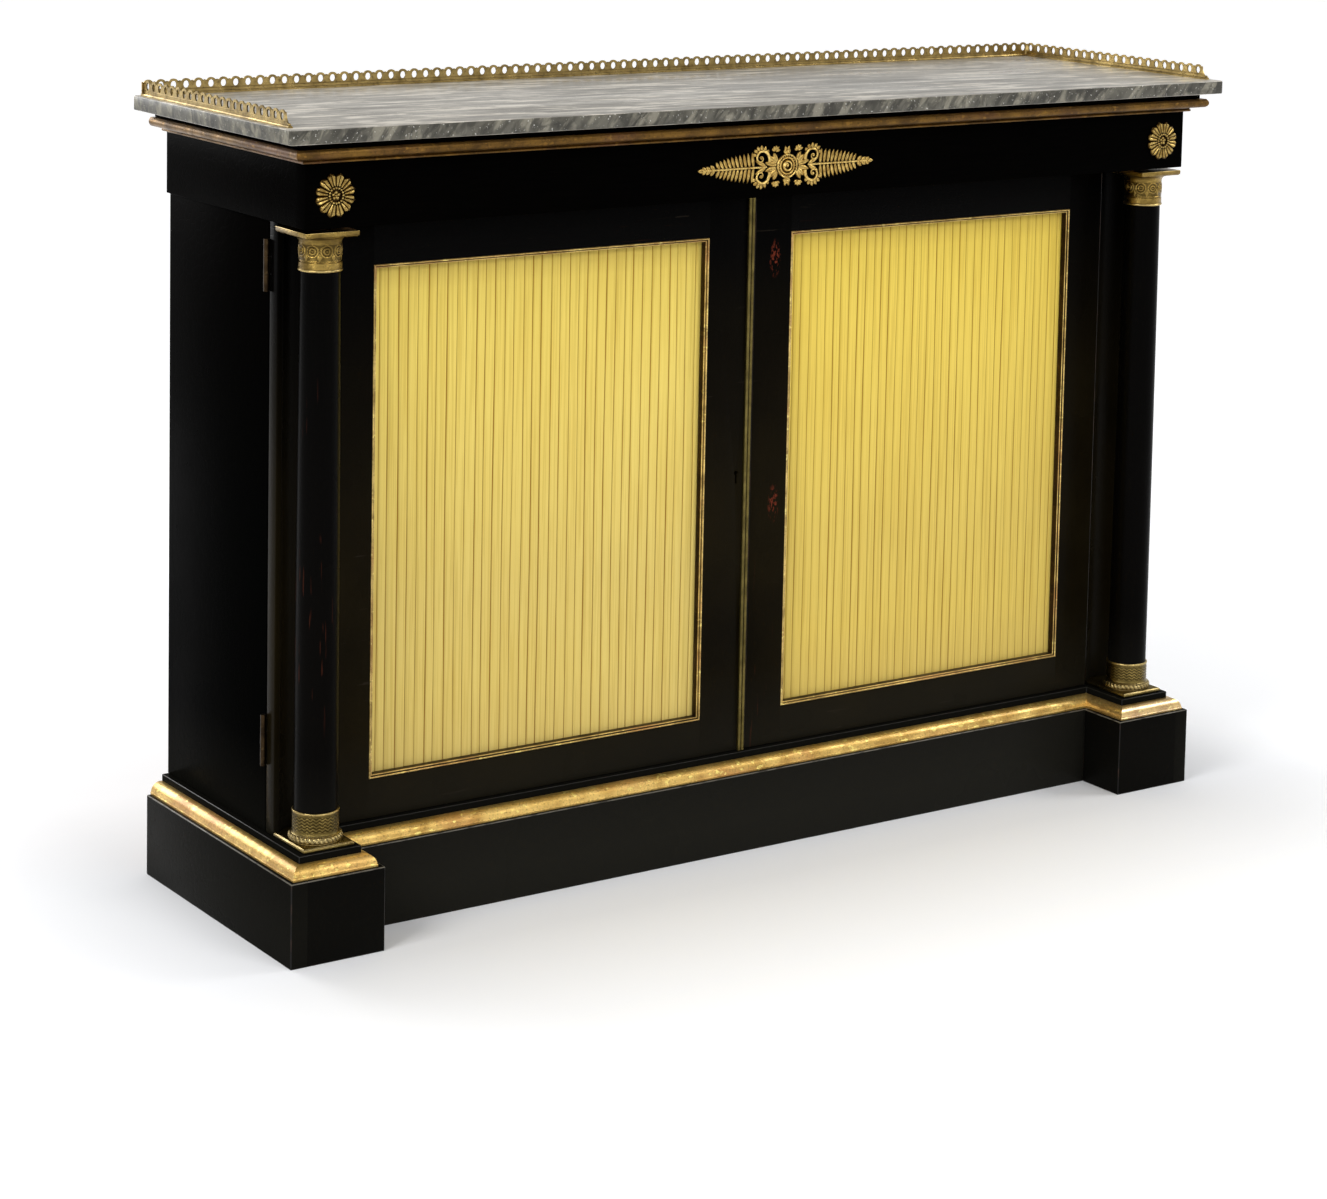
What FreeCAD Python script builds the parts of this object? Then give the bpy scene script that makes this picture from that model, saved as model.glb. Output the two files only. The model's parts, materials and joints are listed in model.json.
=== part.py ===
import FreeCAD, Part

import math
import os

import Sketcher

# Side cabinet with a marble top, a pierced gallery, two doors with pleated silk and a column on each door.
# Millimetres. X runs along the front, Y from front to back, Z up. The origin is on the floor,
# under the middle of the marble slab. Left and right are those of someone facing the front.

# Every size that can be set by itself, with what it measures.
SIZES = {
    # marble slab and gallery
    "slab_overhang": (40.5, "slab past each side of the carcase"),
    "slab_front_overhang": (34.5, "slab past the front of the frieze"),
    "slab_back_overhang": (15, "slab past the back of the carcase"),
    "slab_thick": (16.5, "marble slab"),
    "slab_corner_radius": (5, "upright corners of the slab"),
    "gallery_inset": (10, "edge of the slab to the middle of the gallery"),
    "gallery_front_inset": (20, "front edge of the slab to the gallery's end"),
    "gallery_plate": (1.6, "thickness of the pierced brass"),
    "gallery_foot_width": (6, "flat foot on the marble"),
    "gallery_foot_height": (3, "flat foot on the marble"),
    "gallery_band": (3.6, "plain band between the foot and the piercings"),
    "gallery_piercing": (9.5, "height of each piercing"),
    "gallery_rim": (2.4, "brass over each piercing"),
    "gallery_notch": (3.6, "depth of the notch between two arches"),
    "gallery_web": (4.6, "brass between two piercings"),
    "gallery_pitch": (16, "from one arch to the next"),
    "gallery_crown_share": (0.5, "flat crown of a piercing as a share of its width"),
    "gallery_spring_share": (0.55, "height of a piercing where it is widest, as a share"),
    "gallery_end": (10, "swept end in front of the last arch of a side"),
    "gallery_end_rise": (2.6, "hollow of that swept end"),
    # heights, from the floor up
    "plinth_height": (96, "plinth without its moulding"),
    "deck_thick": (22, "board over the plinth"),
    "carcase_height": (689, "deck to the underside of the frieze"),
    "frieze_height": (72, "frieze"),
    "top_moulding_height": (17, "gilt moulding over the frieze"),
    "bed_height": (7.5, "black fillet under the marble"),
    # plinth
    "plinth_overhang": (27, "plinth past each side of the carcase"),
    "plinth_front_overhang": (23.5, "pedestals past the front of the frieze"),
    "plinth_board": (20, "thickness of the plinth boards"),
    "pedestal_width": (116.5, "projecting block under each column"),
    "breakfront": (68.5, "pedestal front past the middle of the plinth"),
    "deck_inset": (19.5, "plinth face to the edge of the deck board"),
    "plinth_moulding_depth": (13, "gilt moulding, from the deck's edge outwards"),
    "plinth_moulding_height": (14, "gilt moulding on the plinth"),
    "plinth_moulding_toe": (2.5, "upright edge at the foot of that moulding"),
    "plinth_moulding_rise": (3.2, "bulge of its rounded face"),
    # carcase
    "carcase_width": (1257, "over the sides"),
    "side_thick": (20, "carcase sides"),
    "bottom_thick": (18, "carcase bottom"),
    "soffit_thick": (16, "board over the doors"),
    "back_thick": (12, "back panel"),
    "shelf_thick": (18, "shelf"),
    "shelf_share": (0.5, "height of the shelf as a share of the inside"),
    "shelf_setback": (25, "front edge of the shelf behind the doors"),
    "shelf_end_gap": (0.5, "shelf to each side"),
    "bearer_height": (22, "shelf bearers"),
    "bearer_width": (16, "shelf bearers"),
    # frieze and top
    "frieze_overhang": (4.5, "frieze past each side of the carcase"),
    "frieze_depth": (339.5, "frieze, back to front"),
    "frieze_board": (22, "thickness of the frieze boards"),
    "bed_inset": (21, "edge of the slab to the black fillet"),
    "top_moulding_depth": (23.5, "gilt moulding, from the frieze outwards"),
    "top_moulding_nose": (11, "height of its rounded nose"),
    "top_moulding_nose_rise": (5.4, "bulge of that nose"),
    "top_moulding_roll": (2, "nose past the moulding's upper edge"),
    "top_moulding_bead": (3.6, "height of the small bead at its foot"),
    "top_moulding_bead_depth": (5, "frieze to that bead"),
    "top_moulding_bead_rise": (1.6, "bulge of that bead"),
    "top_moulding_neck_depth": (14, "where the nose turns in underneath"),
    # columns
    "column_space": (71, "door face to the front of the frieze"),
    "column_foot_radius": (24.4, "shaft at the base"),
    "column_neck_radius": (22.2, "shaft at the capital"),
    "column_swell_radius": (90000, "long curve of the shaft"),
    "column_front_inset": (31.8, "front of the frieze to the column's axis"),
    "plate_thick": (4.2, "square plate under the column"),
    "plate_inner_margin": (4, "edge of the stile's flat face to the plate"),
    "torus_radius": (30.6, "rope torus of the base"),
    "torus_height": (8.8, "rope torus of the base"),
    "torus_flat": (3.6, "upright face of that torus"),
    "torus_turn": (2.8, "its outermost face to its edges"),
    "collar_radius": (26.1, "collar over the torus"),
    "collar_height": (26, "collar over the torus"),
    "sleeve_gap": (0.1, "brass sleeves round the shaft"),
    "abacus_thick": (6.2, "square plate of the capital"),
    "abacus_outset": (3, "abacus past the side of the door"),
    "abacus_inset": (0.5, "inner edge of the base plate to that of the abacus"),
    "abacus_gap": (4, "abacus to the underside of the frieze"),
    "bell_radius": (29.6, "flare under the abacus"),
    "bell_height": (6.5, "flare under the abacus"),
    "neck_radius": (23.6, "engine-turned neck of the capital"),
    "neck_height": (20.5, "engine-turned neck of the capital"),
    "ring_radius": (24.6, "ring at the foot of the capital"),
    "ring_height": (12, "ring at the foot of the capital"),
    # doors
    "door_gap": (0.8, "door to the deck below and the frieze above"),
    "door_thick": (30, "door frame"),
    "lip_thick": (18.1, "edge of the door that covers the carcase side"),
    "lip_gap": (2.6, "joint between door and carcase side"),
    "rebate_gap": (2.1, "inside of the carcase side to the thick of the stile"),
    "outer_stile": (120, "outer stiles"),
    "hollow_margin": (7, "flat edge outside the hollow"),
    "hollow_width": (60, "hollow behind the column"),
    "hollow_depth": (16, "hollow behind the column"),
    "hollow_fit": (0.3, "column plates in that hollow"),
    "left_inner_stile": (64.5, "stile with the lock"),
    "right_inner_stile": (53.5, "stile without lock"),
    "meeting_offset": (10.5, "edge of the left door past the middle"),
    "meeting_gap": (2, "between the doors"),
    "top_rail": (54.7, "top rails"),
    "bottom_rail": (45.2, "bottom rails"),
    "inside_gap": (1.5, "back of the doors to the carcase bottom"),
    "slip_width": (4.6, "gilt slip round each opening"),
    "slip_proud": (1, "slip past the face of the door"),
    "slip_depth": (10, "slip behind the face of the door"),
    "silk_depth": (4.4, "folds of the silk, front to back"),
    "silk_step": (2.4, "edge of a knife pleat over the next"),
    "silk_clear": (0.8, "folds behind the slip"),
    "silk_pleats": (36, "pleats in each panel"),
    "silk_board": (4, "board behind the silk"),
    "astragal_width": (9.5, "brass strip on the meeting edge"),
    "astragal_base": (1.6, "flat of that strip"),
    "astragal_reed": (2.42, "radius of each of its two reeds"),
    # hinges
    "hinge_outset": (3.6, "carcase side to the pin's axis"),
    "knuckle_radius": (3.2, "hinge knuckles"),
    "pin_radius": (1.5, "hinge pins"),
    "pin_gap": (0.05, "pin in its knuckle"),
    "knuckle_gap": (0.3, "between knuckles, along the pin"),
    "leaf_thick": (1.15, "hinge leaves"),
    "leaf_width": (19, "hinge leaves, from the pin"),
    "leaf_clear": (0.4, "knuckles of one leaf to the plate of the other"),
    "leaf_height": (58, "hinge leaves"),
    "lower_hinge": (105, "door's bottom edge to the middle of the lower hinge"),
    "upper_hinge": (49, "door's top edge to the middle of the upper hinge"),
    # lock
    "lock_height": (56, "lock case"),
    "lock_width": (44, "lock case"),
    "lock_thick": (11, "lock case"),
    "lock_wall": (1.5, "its walls"),
    "lock_setback": (9.5, "face of the door to the lock case"),
    "lock_fit": (0.2, "lock case in its mortise"),
    "bolt_height": (12, "lock bolt"),
    "bolt_thick": (4, "lock bolt"),
    "bolt_length": (26, "lock bolt"),
    "bolt_gap": (0.4, "lock bolt in its slot"),
    "bolt_setback": (0.3, "bolt's end inside the edge of the door"),
    "bolt_throw": (8, "travel of the bolt"),
    "keyhole_inset": (18.5, "edge of the door to the keyhole"),
    "keyhole_radius": (2.6, "round of the keyhole"),
    "keyhole_slot": (2.4, "width of its slot"),
    "keyhole_drop": (13, "its centre to the foot of its slot"),
    # mounts on the frieze
    "mount_thick": (2.4, "plate of each gilt mount"),
    "rosette_radius": (24.5, "rosettes, over the petals"),
    "rosette_valley": (21.4, "middle of a rosette to the valley between two petals"),
    "rosette_petals": (12, "petals of a rosette"),
    "rosette_tip_share": (0.46, "flat tip of a petal as a share of the petal"),
    "rosette_ring": (8.5, "raised ring in the middle of a rosette"),
    "rosette_ring_relief": (1.8, "that ring over the petals"),
    "rosette_button": (5, "button inside the ring"),
    "rosette_button_relief": (3.2, "that button over the petals"),
    "rosette_inset": (36, "end of the frieze to a rosette's middle"),
    "mount_length": (255, "centre mount, tip to tip"),
    "mount_height": (53.5, "centre mount, over its buds"),
    "mount_offset": (3.5, "centre mount past the middle of the frieze"),
    "roundel_radius": (13.5, "disc in the middle of the centre mount"),
    "roundel_relief": (2.2, "that disc over the mount"),
    "roundel_eye": (5.5, "raised eye of that disc"),
    "bud_radius": (5.6, "flower bud above and below the disc"),
    "bud_stem": (6, "stem of that bud, across"),
    "wing_radius": (11.5, "stippled lobe on each side of the disc"),
    "wing_reach": (19.5, "middle of the mount to the middle of a lobe"),
    "spine_width": (6, "bar that joins the lobes to the fronds"),
    "frond_start": (50, "middle of the mount to the root of a frond"),
    "frond_width": (32, "frond at its root"),
    "frond_stem": (7, "stem of a frond, across"),
    "frond_leaflets": (10, "leaflets on each side of a frond"),
    "frond_sweep": (5, "tip of a leaflet past its root"),
    "scroll_radius": (10.2, "scrolls, over the band"),
    "scroll_eye": (5, "opening of a scroll"),
    "scroll_reach": (36, "middle of the mount to a scroll, along the frieze"),
    "scroll_rise": (12.6, "middle of the mount to a scroll, upwards"),
    # shaping
    "overrun": (1, "cutting shapes past the faces that they open"),
}

doc = FreeCAD.newDocument("side_cabinet")
sheet = doc.addObject("Spreadsheet::Sheet", "sizes")
for row, (alias, (number, note)) in enumerate(SIZES.items(), start=1):
    sheet.set(f"A{row}", alias)
    sheet.set(f"B{row}", str(number))
    sheet.set(f"C{row}", note)
    sheet.setAlias(f"B{row}", alias)
doc.recompute()


class Size:
    """A length that follows the sheet: its formula, and what it comes to now."""

    def __init__(self, text, value):
        self.text = text
        self.value = value

    def joined(self, sign, other, value):
        other_text = other.text if isinstance(other, Size) else str(other)
        return Size(f"({self.text} {sign} {other_text})", value)

    def __add__(self, other):
        return self.joined("+", other, self.value + number_of(other))

    def __sub__(self, other):
        return self.joined("-", other, self.value - number_of(other))

    def __mul__(self, other):
        return self.joined("*", other, self.value * number_of(other))

    def __truediv__(self, other):
        return self.joined("/", other, self.value / number_of(other))

    def __neg__(self):
        return Size(f"(0 - {self.text})", -self.value)


def number_of(length):
    """The plain number behind a size or a number."""
    return length.value if isinstance(length, Size) else length


class Sheet:
    """The sheet's cells by name, as sizes."""

    def __getattr__(self, alias):
        return Size(f"sizes.{alias}", float(getattr(sheet, alias)))


s = Sheet()
ZERO = s.carcase_width * 0
PARALLEL = 0.999  # cosine above which two directions count as one
KNUCKLES = 3  # of a hinge, the outer two on the carcase's leaf
CARCASE_KNUCKLES = (0, 2)
DOOR_KNUCKLES = (1,)
LEFT, RIGHT = -1, 1
SIDES = {"left": LEFT, "right": RIGHT}
sub_parts = []


def keep(piece, name):
    """Give a finished sub-part the name of its node."""
    piece.Label = name
    sub_parts.append(piece)
    return piece


# Levels and faces that several pieces share.
z_deck = s.plinth_height
z_floor = z_deck + s.deck_thick
z_soffit = z_floor + s.carcase_height
z_frieze_top = z_soffit + s.frieze_height
z_bed = z_frieze_top + s.top_moulding_height
z_slab = z_bed + s.bed_height
z_slab_top = z_slab + s.slab_thick
half_depth = (s.frieze_depth + s.slab_front_overhang + s.slab_back_overhang) / 2
y_back = half_depth - s.slab_back_overhang
y_frieze = y_back - s.frieze_depth
y_pedestal = y_frieze - s.plinth_front_overhang
y_plinth = y_pedestal + s.breakfront
y_face = y_frieze + s.column_space
y_door_back = y_face + s.door_thick
y_side_front = y_face + s.lip_thick + s.lip_gap
y_back_panel = y_back - s.back_thick
x_side = s.carcase_width / 2
x_inside = x_side - s.side_thick
x_plinth = x_side + s.plinth_overhang
x_pedestal = x_plinth - s.pedestal_width
half_width = x_side + s.slab_overhang
x_frieze = x_side + s.frieze_overhang
x_frieze_inside = x_frieze - s.frieze_board
x_pin = x_side + s.hinge_outset
y_pin = y_side_front - s.lip_gap / 2
z_door = z_floor + s.door_gap
z_door_top = z_soffit - s.door_gap
z_opening = z_door + s.bottom_rail
z_opening_top = z_door_top - s.top_rail
x_opening = x_side - s.outer_stile
x_meeting = s.meeting_offset
x_meeting_right = x_meeting + s.meeting_gap
x_left_opening = x_meeting - s.left_inner_stile
x_right_opening = x_meeting_right + s.right_inner_stile
x_hollow_outer = x_side - s.hollow_margin
x_hollow_inner = x_hollow_outer - s.hollow_width
x_plate_inner = x_hollow_inner + s.plate_inner_margin
x_column = (x_plate_inner + x_side) / 2
y_column = y_frieze + s.column_front_inset
z_plate_top = z_door + s.plate_thick
z_abacus_top = z_soffit - s.abacus_gap
z_abacus = z_abacus_top - s.abacus_thick


def span(side, near, far):
    """Two X faces given by their distance from the middle, put on one side of it."""
    return (near, far) if side == RIGHT else (-far, -near)


def block(name, x, y, z):
    """A square-edged block between three pairs of faces."""
    box = doc.addObject("Part::Box", name)
    for prop, (low, high) in (("Length", x), ("Width", y), ("Height", z)):
        box.setExpression(prop, (high - low).text)
    for axis, (low, high) in (("x", x), ("y", y), ("z", z)):
        box.setExpression(f"Placement.Base.{axis}", low.text)
    return box


def board(name, x, y, z):
    """A block that is a sub-part by itself."""
    return keep(block(name, x, y, z), name)


def rod(name, x, y, radius, z):
    """An upright round rod."""
    cylinder = doc.addObject("Part::Cylinder", name)
    cylinder.setExpression("Radius", radius.text)
    cylinder.setExpression("Height", (z[1] - z[0]).text)
    for axis, low in (("x", x), ("y", y), ("z", z[0])):
        cylinder.setExpression(f"Placement.Base.{axis}", low.text)
    return cylinder


def cut(name, base, tool):
    """One shape less another."""
    made = doc.addObject("Part::Cut", name)
    made.Base = base
    made.Tool = tool
    return made


def common(name, base, tool):
    """What two shapes share."""
    made = doc.addObject("Part::Common", name)
    made.Base = base
    made.Tool = tool
    return made


def joined(name, shapes):
    """Several shapes that touch, as one solid."""
    made = doc.addObject("Part::MultiFuse", name)
    made.Shapes = shapes
    made.Refine = True
    return made


def group_of(name, shapes):
    """Separate solids that share a node."""
    made = doc.addObject("Part::Compound", name)
    made.Links = shapes
    return made


def new_body(name):
    """An empty body whose own axes are the model's."""
    return doc.addObject("PartDesign::Body", name)


def plane_of(body, role):
    """An origin plane of a body."""
    return next(f for f in body.Origin.OriginFeatures if f.Role == role)


def arc_through(start, end, radius, turn):
    """The lesser arc of a radius between two points: turn is 1 for anticlockwise, -1 for clockwise."""
    chord = end - start
    half = chord.Length / 2
    height = math.sqrt(max(radius**2 - half**2, 0))
    normal = FreeCAD.Vector(-chord.y, chord.x, 0).normalize()
    centre = start + chord / 2 + normal * (height * turn)
    first, last = (start, end) if turn > 0 else (end, start)
    begin = math.atan2(first.y - centre.y, first.x - centre.x)
    finish = math.atan2(last.y - centre.y, last.x - centre.x)
    if finish < begin:
        finish += 2 * math.pi
    circle = Part.Circle(centre, FreeCAD.Vector(0, 0, 1), radius)
    return Part.ArcOfCircle(circle, begin, finish)


def outline(body, role, name, points, arcs=None):
    """A closed sketch through points; arcs maps a segment's number to its radius and turn."""
    arcs = arcs or {}
    sketch = body.newObject("Sketcher::SketchObject", name)
    sketch.AttachmentSupport = [(plane_of(body, role), "")]
    sketch.MapMode = "FlatFace"
    count = len(points)
    places = [FreeCAD.Vector(u.value, v.value, 0) for u, v in points]
    ends = []
    for i in range(count):
        start, end = places[i], places[(i + 1) % count]
        if i in arcs:
            radius, turn = arcs[i]
            sketch.addGeometry(arc_through(start, end, radius.value, turn), False)
            ends.append((1, 2) if turn > 0 else (2, 1))
        else:
            sketch.addGeometry(Part.LineSegment(start, end), False)
            ends.append((1, 2))
    for i in range(count):
        after = (i + 1) % count
        sketch.addConstraint(Sketcher.Constraint("Coincident", i, ends[i][1], after, ends[after][0]))
    for i, (u, v) in enumerate(points):
        for kind, length in (("DistanceX", u), ("DistanceY", v)):
            number = sketch.addConstraint(Sketcher.Constraint(kind, -1, 1, i, ends[i][0], length.value))
            sketch.setExpression(f"Constraints[{number}]", length.text)
    for i, (radius, turn) in arcs.items():
        number = sketch.addConstraint(Sketcher.Constraint("Radius", i, radius.value))
        sketch.setExpression(f"Constraints[{number}]", radius.text)
    return sketch


def pad(body, sketch, length, name):
    """Raise a sketch by a length along its plane's normal."""
    feature = body.newObject("PartDesign::Pad", name)
    feature.Profile = (sketch, [""])
    feature.setExpression("Length", length.text)
    return feature


def turned(body, sketch, name):
    """Turn a half section about the sketch's upright axis."""
    feature = body.newObject("PartDesign::Revolution", name)
    feature.Profile = (sketch, [""])
    feature.ReferenceAxis = (sketch, ["V_Axis"])
    feature.Angle = 360
    return feature


def seat(piece, x, y, z):
    """Bind the place of a piece."""
    for axis, length in (("x", x), ("y", y), ("z", z)):
        piece.setExpression(f"Placement.Base.{axis}", length.text)


def arc_radius(width, rise):
    """The radius of an arc over a width that rises by so much in its middle."""
    return (width * width / 4 + rise * rise) / (rise * 2)


def shaped(name, shape):
    """A sub-part whose shape is worked out above."""
    piece = doc.addObject("Part::Feature", name)
    piece.Shape = shape
    return keep(piece, name)


# Plinth: two long sides, a front and a back board, and a solid block under each column.
height = (ZERO, z_deck)
for word, side in SIDES.items():
    board("plinth_side_" + word, span(side, x_plinth - s.plinth_board, x_plinth), (y_pedestal, y_back), height)
    across = span(side, x_pedestal, x_plinth - s.plinth_board)
    board("plinth_pedestal_" + word, across, (y_pedestal, y_plinth), height)
across = (s.plinth_board - x_plinth, x_plinth - s.plinth_board)
board("plinth_front", across, (y_plinth, y_plinth + s.plinth_board), height)
board("plinth_back", across, (y_back - s.plinth_board, y_back), height)

# Deck: the board over the plinth, which follows the breakfront. Its black edge shows above the gilt moulding.
deck = new_body("plinth_deck")
x_deck = x_plinth - s.deck_inset
x_deck_inner = x_pedestal + s.deck_inset
y_deck = y_pedestal + s.deck_inset
y_deck_middle = y_plinth + s.deck_inset
deck_outline = outline(
    deck,
    "XY_Plane",
    "deck_outline",
    [
        (-x_deck, y_back),
        (-x_deck, y_deck),
        (-x_deck_inner, y_deck),
        (-x_deck_inner, y_deck_middle),
        (x_deck_inner, y_deck_middle),
        (x_deck_inner, y_deck),
        (x_deck, y_deck),
        (x_deck, y_back),
    ],
)
pad(deck, deck_outline, s.deck_thick, "deck_pad")
seat(deck, ZERO, ZERO, z_deck)
keep(deck, "plinth_deck")


# Gilt mouldings: straight lengths of one section, mitred where two meet.
def arc_middle(start, end, rise):
    """The middle of an arc that rises to the right of the way from start to end."""
    (u0, v0), (u1, v1) = start, end
    share = rise / math.hypot(u1 - u0, v1 - v0)
    return (u0 + u1) / 2 + (v1 - v0) * share, (v0 + v1) / 2 - (u1 - u0) * share


def closed_wire(points, rises=None):
    """A closed wire through points; rises maps a segment's number to the rise of its arc."""
    rises = rises or {}
    edges = []
    for i, start in enumerate(points):
        end = points[(i + 1) % len(points)]
        first, last = FreeCAD.Vector(*start, 0), FreeCAD.Vector(*end, 0)
        if i in rises:
            middle = FreeCAD.Vector(*arc_middle(start, end, rises[i]), 0)
            edges.append(Part.Arc(first, middle, last).toShape())
        else:
            edges.append(Part.LineSegment(first, last).toShape())
    return Part.Wire(edges)


def mitred(section, z, route):
    """A moulding along a route of (x, y, lean): the lean is how a corner moves per unit of projection."""
    ends = []
    for x, y, (lean_x, lean_y) in route:
        skew = FreeCAD.Matrix(
            lean_x, 0, lean_y, x.value, lean_y, 0, -lean_x, y.value, 0, 1, 0, z.value, 0, 0, 0, 1
        )
        ends.append(section.transformGeometry(skew))
    lengths = [Part.makeLoft([near, far], True, True) for near, far in zip(ends, ends[1:])]
    whole = lengths[0]
    for length in lengths[1:]:
        whole = whole.fuse(length)
    return whole


plinth_toe = (s.plinth_moulding_depth.value, s.plinth_moulding_toe.value)
plinth_crest = (0, s.plinth_moulding_height.value)
plinth_section = closed_wire(
    [(0, 0), (s.plinth_moulding_depth.value, 0), plinth_toe, plinth_crest],
    {2: s.plinth_moulding_rise.value},
)
for word, side in SIDES.items():
    back = (x_deck * side, y_back, (side, 0))
    outer = (x_deck * side, y_deck, (side, -1))
    inner = (x_deck_inner * side, y_deck, (-side, -1))
    middle = (x_deck_inner * side, y_deck_middle, (-side, -1))
    shaped(f"plinth_moulding_{word}", mitred(plinth_section, z_deck, [back, outer]))
    shaped(f"pedestal_moulding_{word}", mitred(plinth_section, z_deck, [outer, inner, middle]))
middle_run = [(-x_deck_inner, y_deck_middle, (1, -1)), (x_deck_inner, y_deck_middle, (-1, -1))]
shaped("plinth_moulding_front", mitred(plinth_section, z_deck, middle_run))

top_height = s.top_moulding_height.value
nose_foot = (s.top_moulding_neck_depth.value, top_height - s.top_moulding_nose.value)
nose_top = (s.top_moulding_depth.value - s.top_moulding_roll.value, top_height)
bead_foot = (s.top_moulding_bead_depth.value, 0)
bead_top = (s.top_moulding_bead_depth.value, s.top_moulding_bead.value)
top_section = closed_wire(
    [(0, 0), bead_foot, bead_top, nose_foot, nose_top, (0, top_height)],
    {1: s.top_moulding_bead_rise.value, 3: s.top_moulding_nose_rise.value},
)
for word, side in SIDES.items():
    side_run = [(x_frieze * side, y_back, (side, 0)), (x_frieze * side, y_frieze, (side, -1))]
    shaped(f"top_moulding_{word}", mitred(top_section, z_frieze_top, side_run))
front_run = [(-x_frieze, y_frieze, (-1, -1)), (x_frieze, y_frieze, (1, -1))]
shaped("top_moulding_front", mitred(top_section, z_frieze_top, front_run))

# Carcase: two sides on the deck, a bottom between them, and a board over them that is also the soffit.
for word, side in SIDES.items():
    board("carcase_side_" + word, span(side, x_inside, x_side), (y_side_front, y_back), (z_floor, z_soffit))
y_inside = y_door_back + s.inside_gap
z_bottom = z_floor + s.bottom_thick
across_inside = (-x_inside, x_inside)
board("carcase_bottom", across_inside, (y_inside, y_back_panel), (z_floor, z_bottom))
board("carcase_back", across_inside, (y_back_panel, y_back), (z_floor, z_frieze_top))
y_frieze_back = y_frieze + s.frieze_board
across_frieze = (-x_frieze_inside, x_frieze_inside)
board("carcase_top", across_frieze, (y_frieze_back, y_back_panel), (z_soffit, z_soffit + s.soffit_thick))

# Frieze: a front board and two side boards on the carcase.
board("frieze_front", (-x_frieze, x_frieze), (y_frieze, y_frieze_back), (z_soffit, z_frieze_top))
for word, side in SIDES.items():
    board(
        "frieze_side_" + word, span(side, x_frieze_inside, x_frieze), (y_frieze_back, y_back), (z_soffit, z_frieze_top)
    )

# Shelf on two bearers.
z_shelf = z_bottom + (z_soffit - z_bottom) * s.shelf_share
y_shelf = y_inside + s.shelf_setback
x_shelf = x_inside - s.shelf_end_gap
board("shelf", (-x_shelf, x_shelf), (y_shelf, y_back_panel), (z_shelf, z_shelf + s.shelf_thick))
for word, side in SIDES.items():
    board(
        "shelf_bearer_" + word,
        span(side, x_inside - s.bearer_width, x_inside),
        (y_shelf, y_back_panel),
        (z_shelf - s.bearer_height, z_shelf),
    )

# Top board: its core lies behind the gilt moulding, its upper part is the black fillet over it.
x_bed = half_width - s.bed_inset
y_bed = s.bed_inset - half_depth
core = block("top_board_core", (-x_frieze, x_frieze), (y_frieze, y_back), (z_frieze_top, z_bed))
fillet = block("top_board_fillet", (-x_bed, x_bed), (y_bed, y_back), (z_bed, z_slab))
keep(joined("top_board", [core, fillet]), "top_board")

# Marble slab with rounded upright corners.
slab = doc.addObject("Part::Fillet", "marble_top")
slab.Base = block("slab_blank", (-half_width, half_width), (-half_depth, half_depth), (z_slab, z_slab_top))
doc.recompute()
corner = s.slab_corner_radius.value
upright = [
    number
    for number, edge in enumerate(slab.Base.Shape.Edges, start=1)
    if abs(edge.tangentAt(edge.FirstParameter).z) > PARALLEL
]
slab.Edges = [(number, corner, corner) for number in upright]
keep(slab, "marble_top")


# Gallery: brass pierced with a row of arches on a flat foot. A side ends in front in a swept toe.
def pierced(length, toe_length):
    """A pierced length along X from zero, its foot on Z zero, centred on Y, with any toe at the far end."""
    foot = s.gallery_foot_height.value
    sill = foot + s.gallery_band.value
    head = sill + s.gallery_piercing.value
    top = head + s.gallery_rim.value
    notch = top - s.gallery_notch.value
    spring = sill + s.gallery_piercing.value * s.gallery_spring_share.value
    row = length - toe_length
    count = round(row / s.gallery_pitch.value)
    pitch = row / count
    hole = (pitch - s.gallery_web.value) / 2
    crown = hole * s.gallery_crown_share.value
    crest, wires = [], []
    for i in range(count):
        middle = pitch * i + pitch / 2
        crest += [(pitch * i, notch), (middle - crown, top), (middle + crown, top)]
        low = [(middle - crown, sill), (middle + crown, sill), (middle + hole, spring)]
        high = [(middle + crown, head), (middle - crown, head), (middle - hole, spring)]
        wires.append(closed_wire(low + high))
    crest.append((row, notch))
    points = [*crest, (length, foot), (0, foot)]
    rim = closed_wire(points, {len(crest) - 1: s.gallery_end_rise.value} if toe_length else None)
    face = Part.makeFace([rim, *wires], "Part::FaceMakerBullseye")
    plate = face.extrude(FreeCAD.Vector(0, 0, s.gallery_plate.value))
    plate.rotate(FreeCAD.Vector(), FreeCAD.Vector(1, 0, 0), 90)
    plate.translate(FreeCAD.Vector(0, s.gallery_plate.value / 2, 0))
    flat = s.gallery_foot_width.value
    return plate.fuse(Part.makeBox(length, flat, foot, FreeCAD.Vector(0, -flat / 2, 0)))


y_gallery = (half_depth - s.gallery_inset).value
x_gallery = (half_width - s.gallery_inset).value
flat_half = s.gallery_foot_width.value / 2
back_length = pierced(2 * (x_gallery + flat_half), 0)
back_length.translate(FreeCAD.Vector(-x_gallery - flat_half, y_gallery, z_slab_top.value))
shaped("gallery_back", back_length)
side_start = y_gallery - flat_half
side_length = side_start + half_depth.value - s.gallery_front_inset.value
for word, side in SIDES.items():
    run = pierced(side_length, s.gallery_end.value)
    run.rotate(FreeCAD.Vector(), FreeCAD.Vector(0, 0, 1), -90)
    run.translate(FreeCAD.Vector(x_gallery * side, side_start, z_slab_top.value))
    shaped(f"gallery_{word}", run)


# Doors. Each has an outer stile with a hollow behind the column, an inner stile and two rails.
hollow_radius = arc_radius(s.hollow_width, s.hollow_depth)


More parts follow.
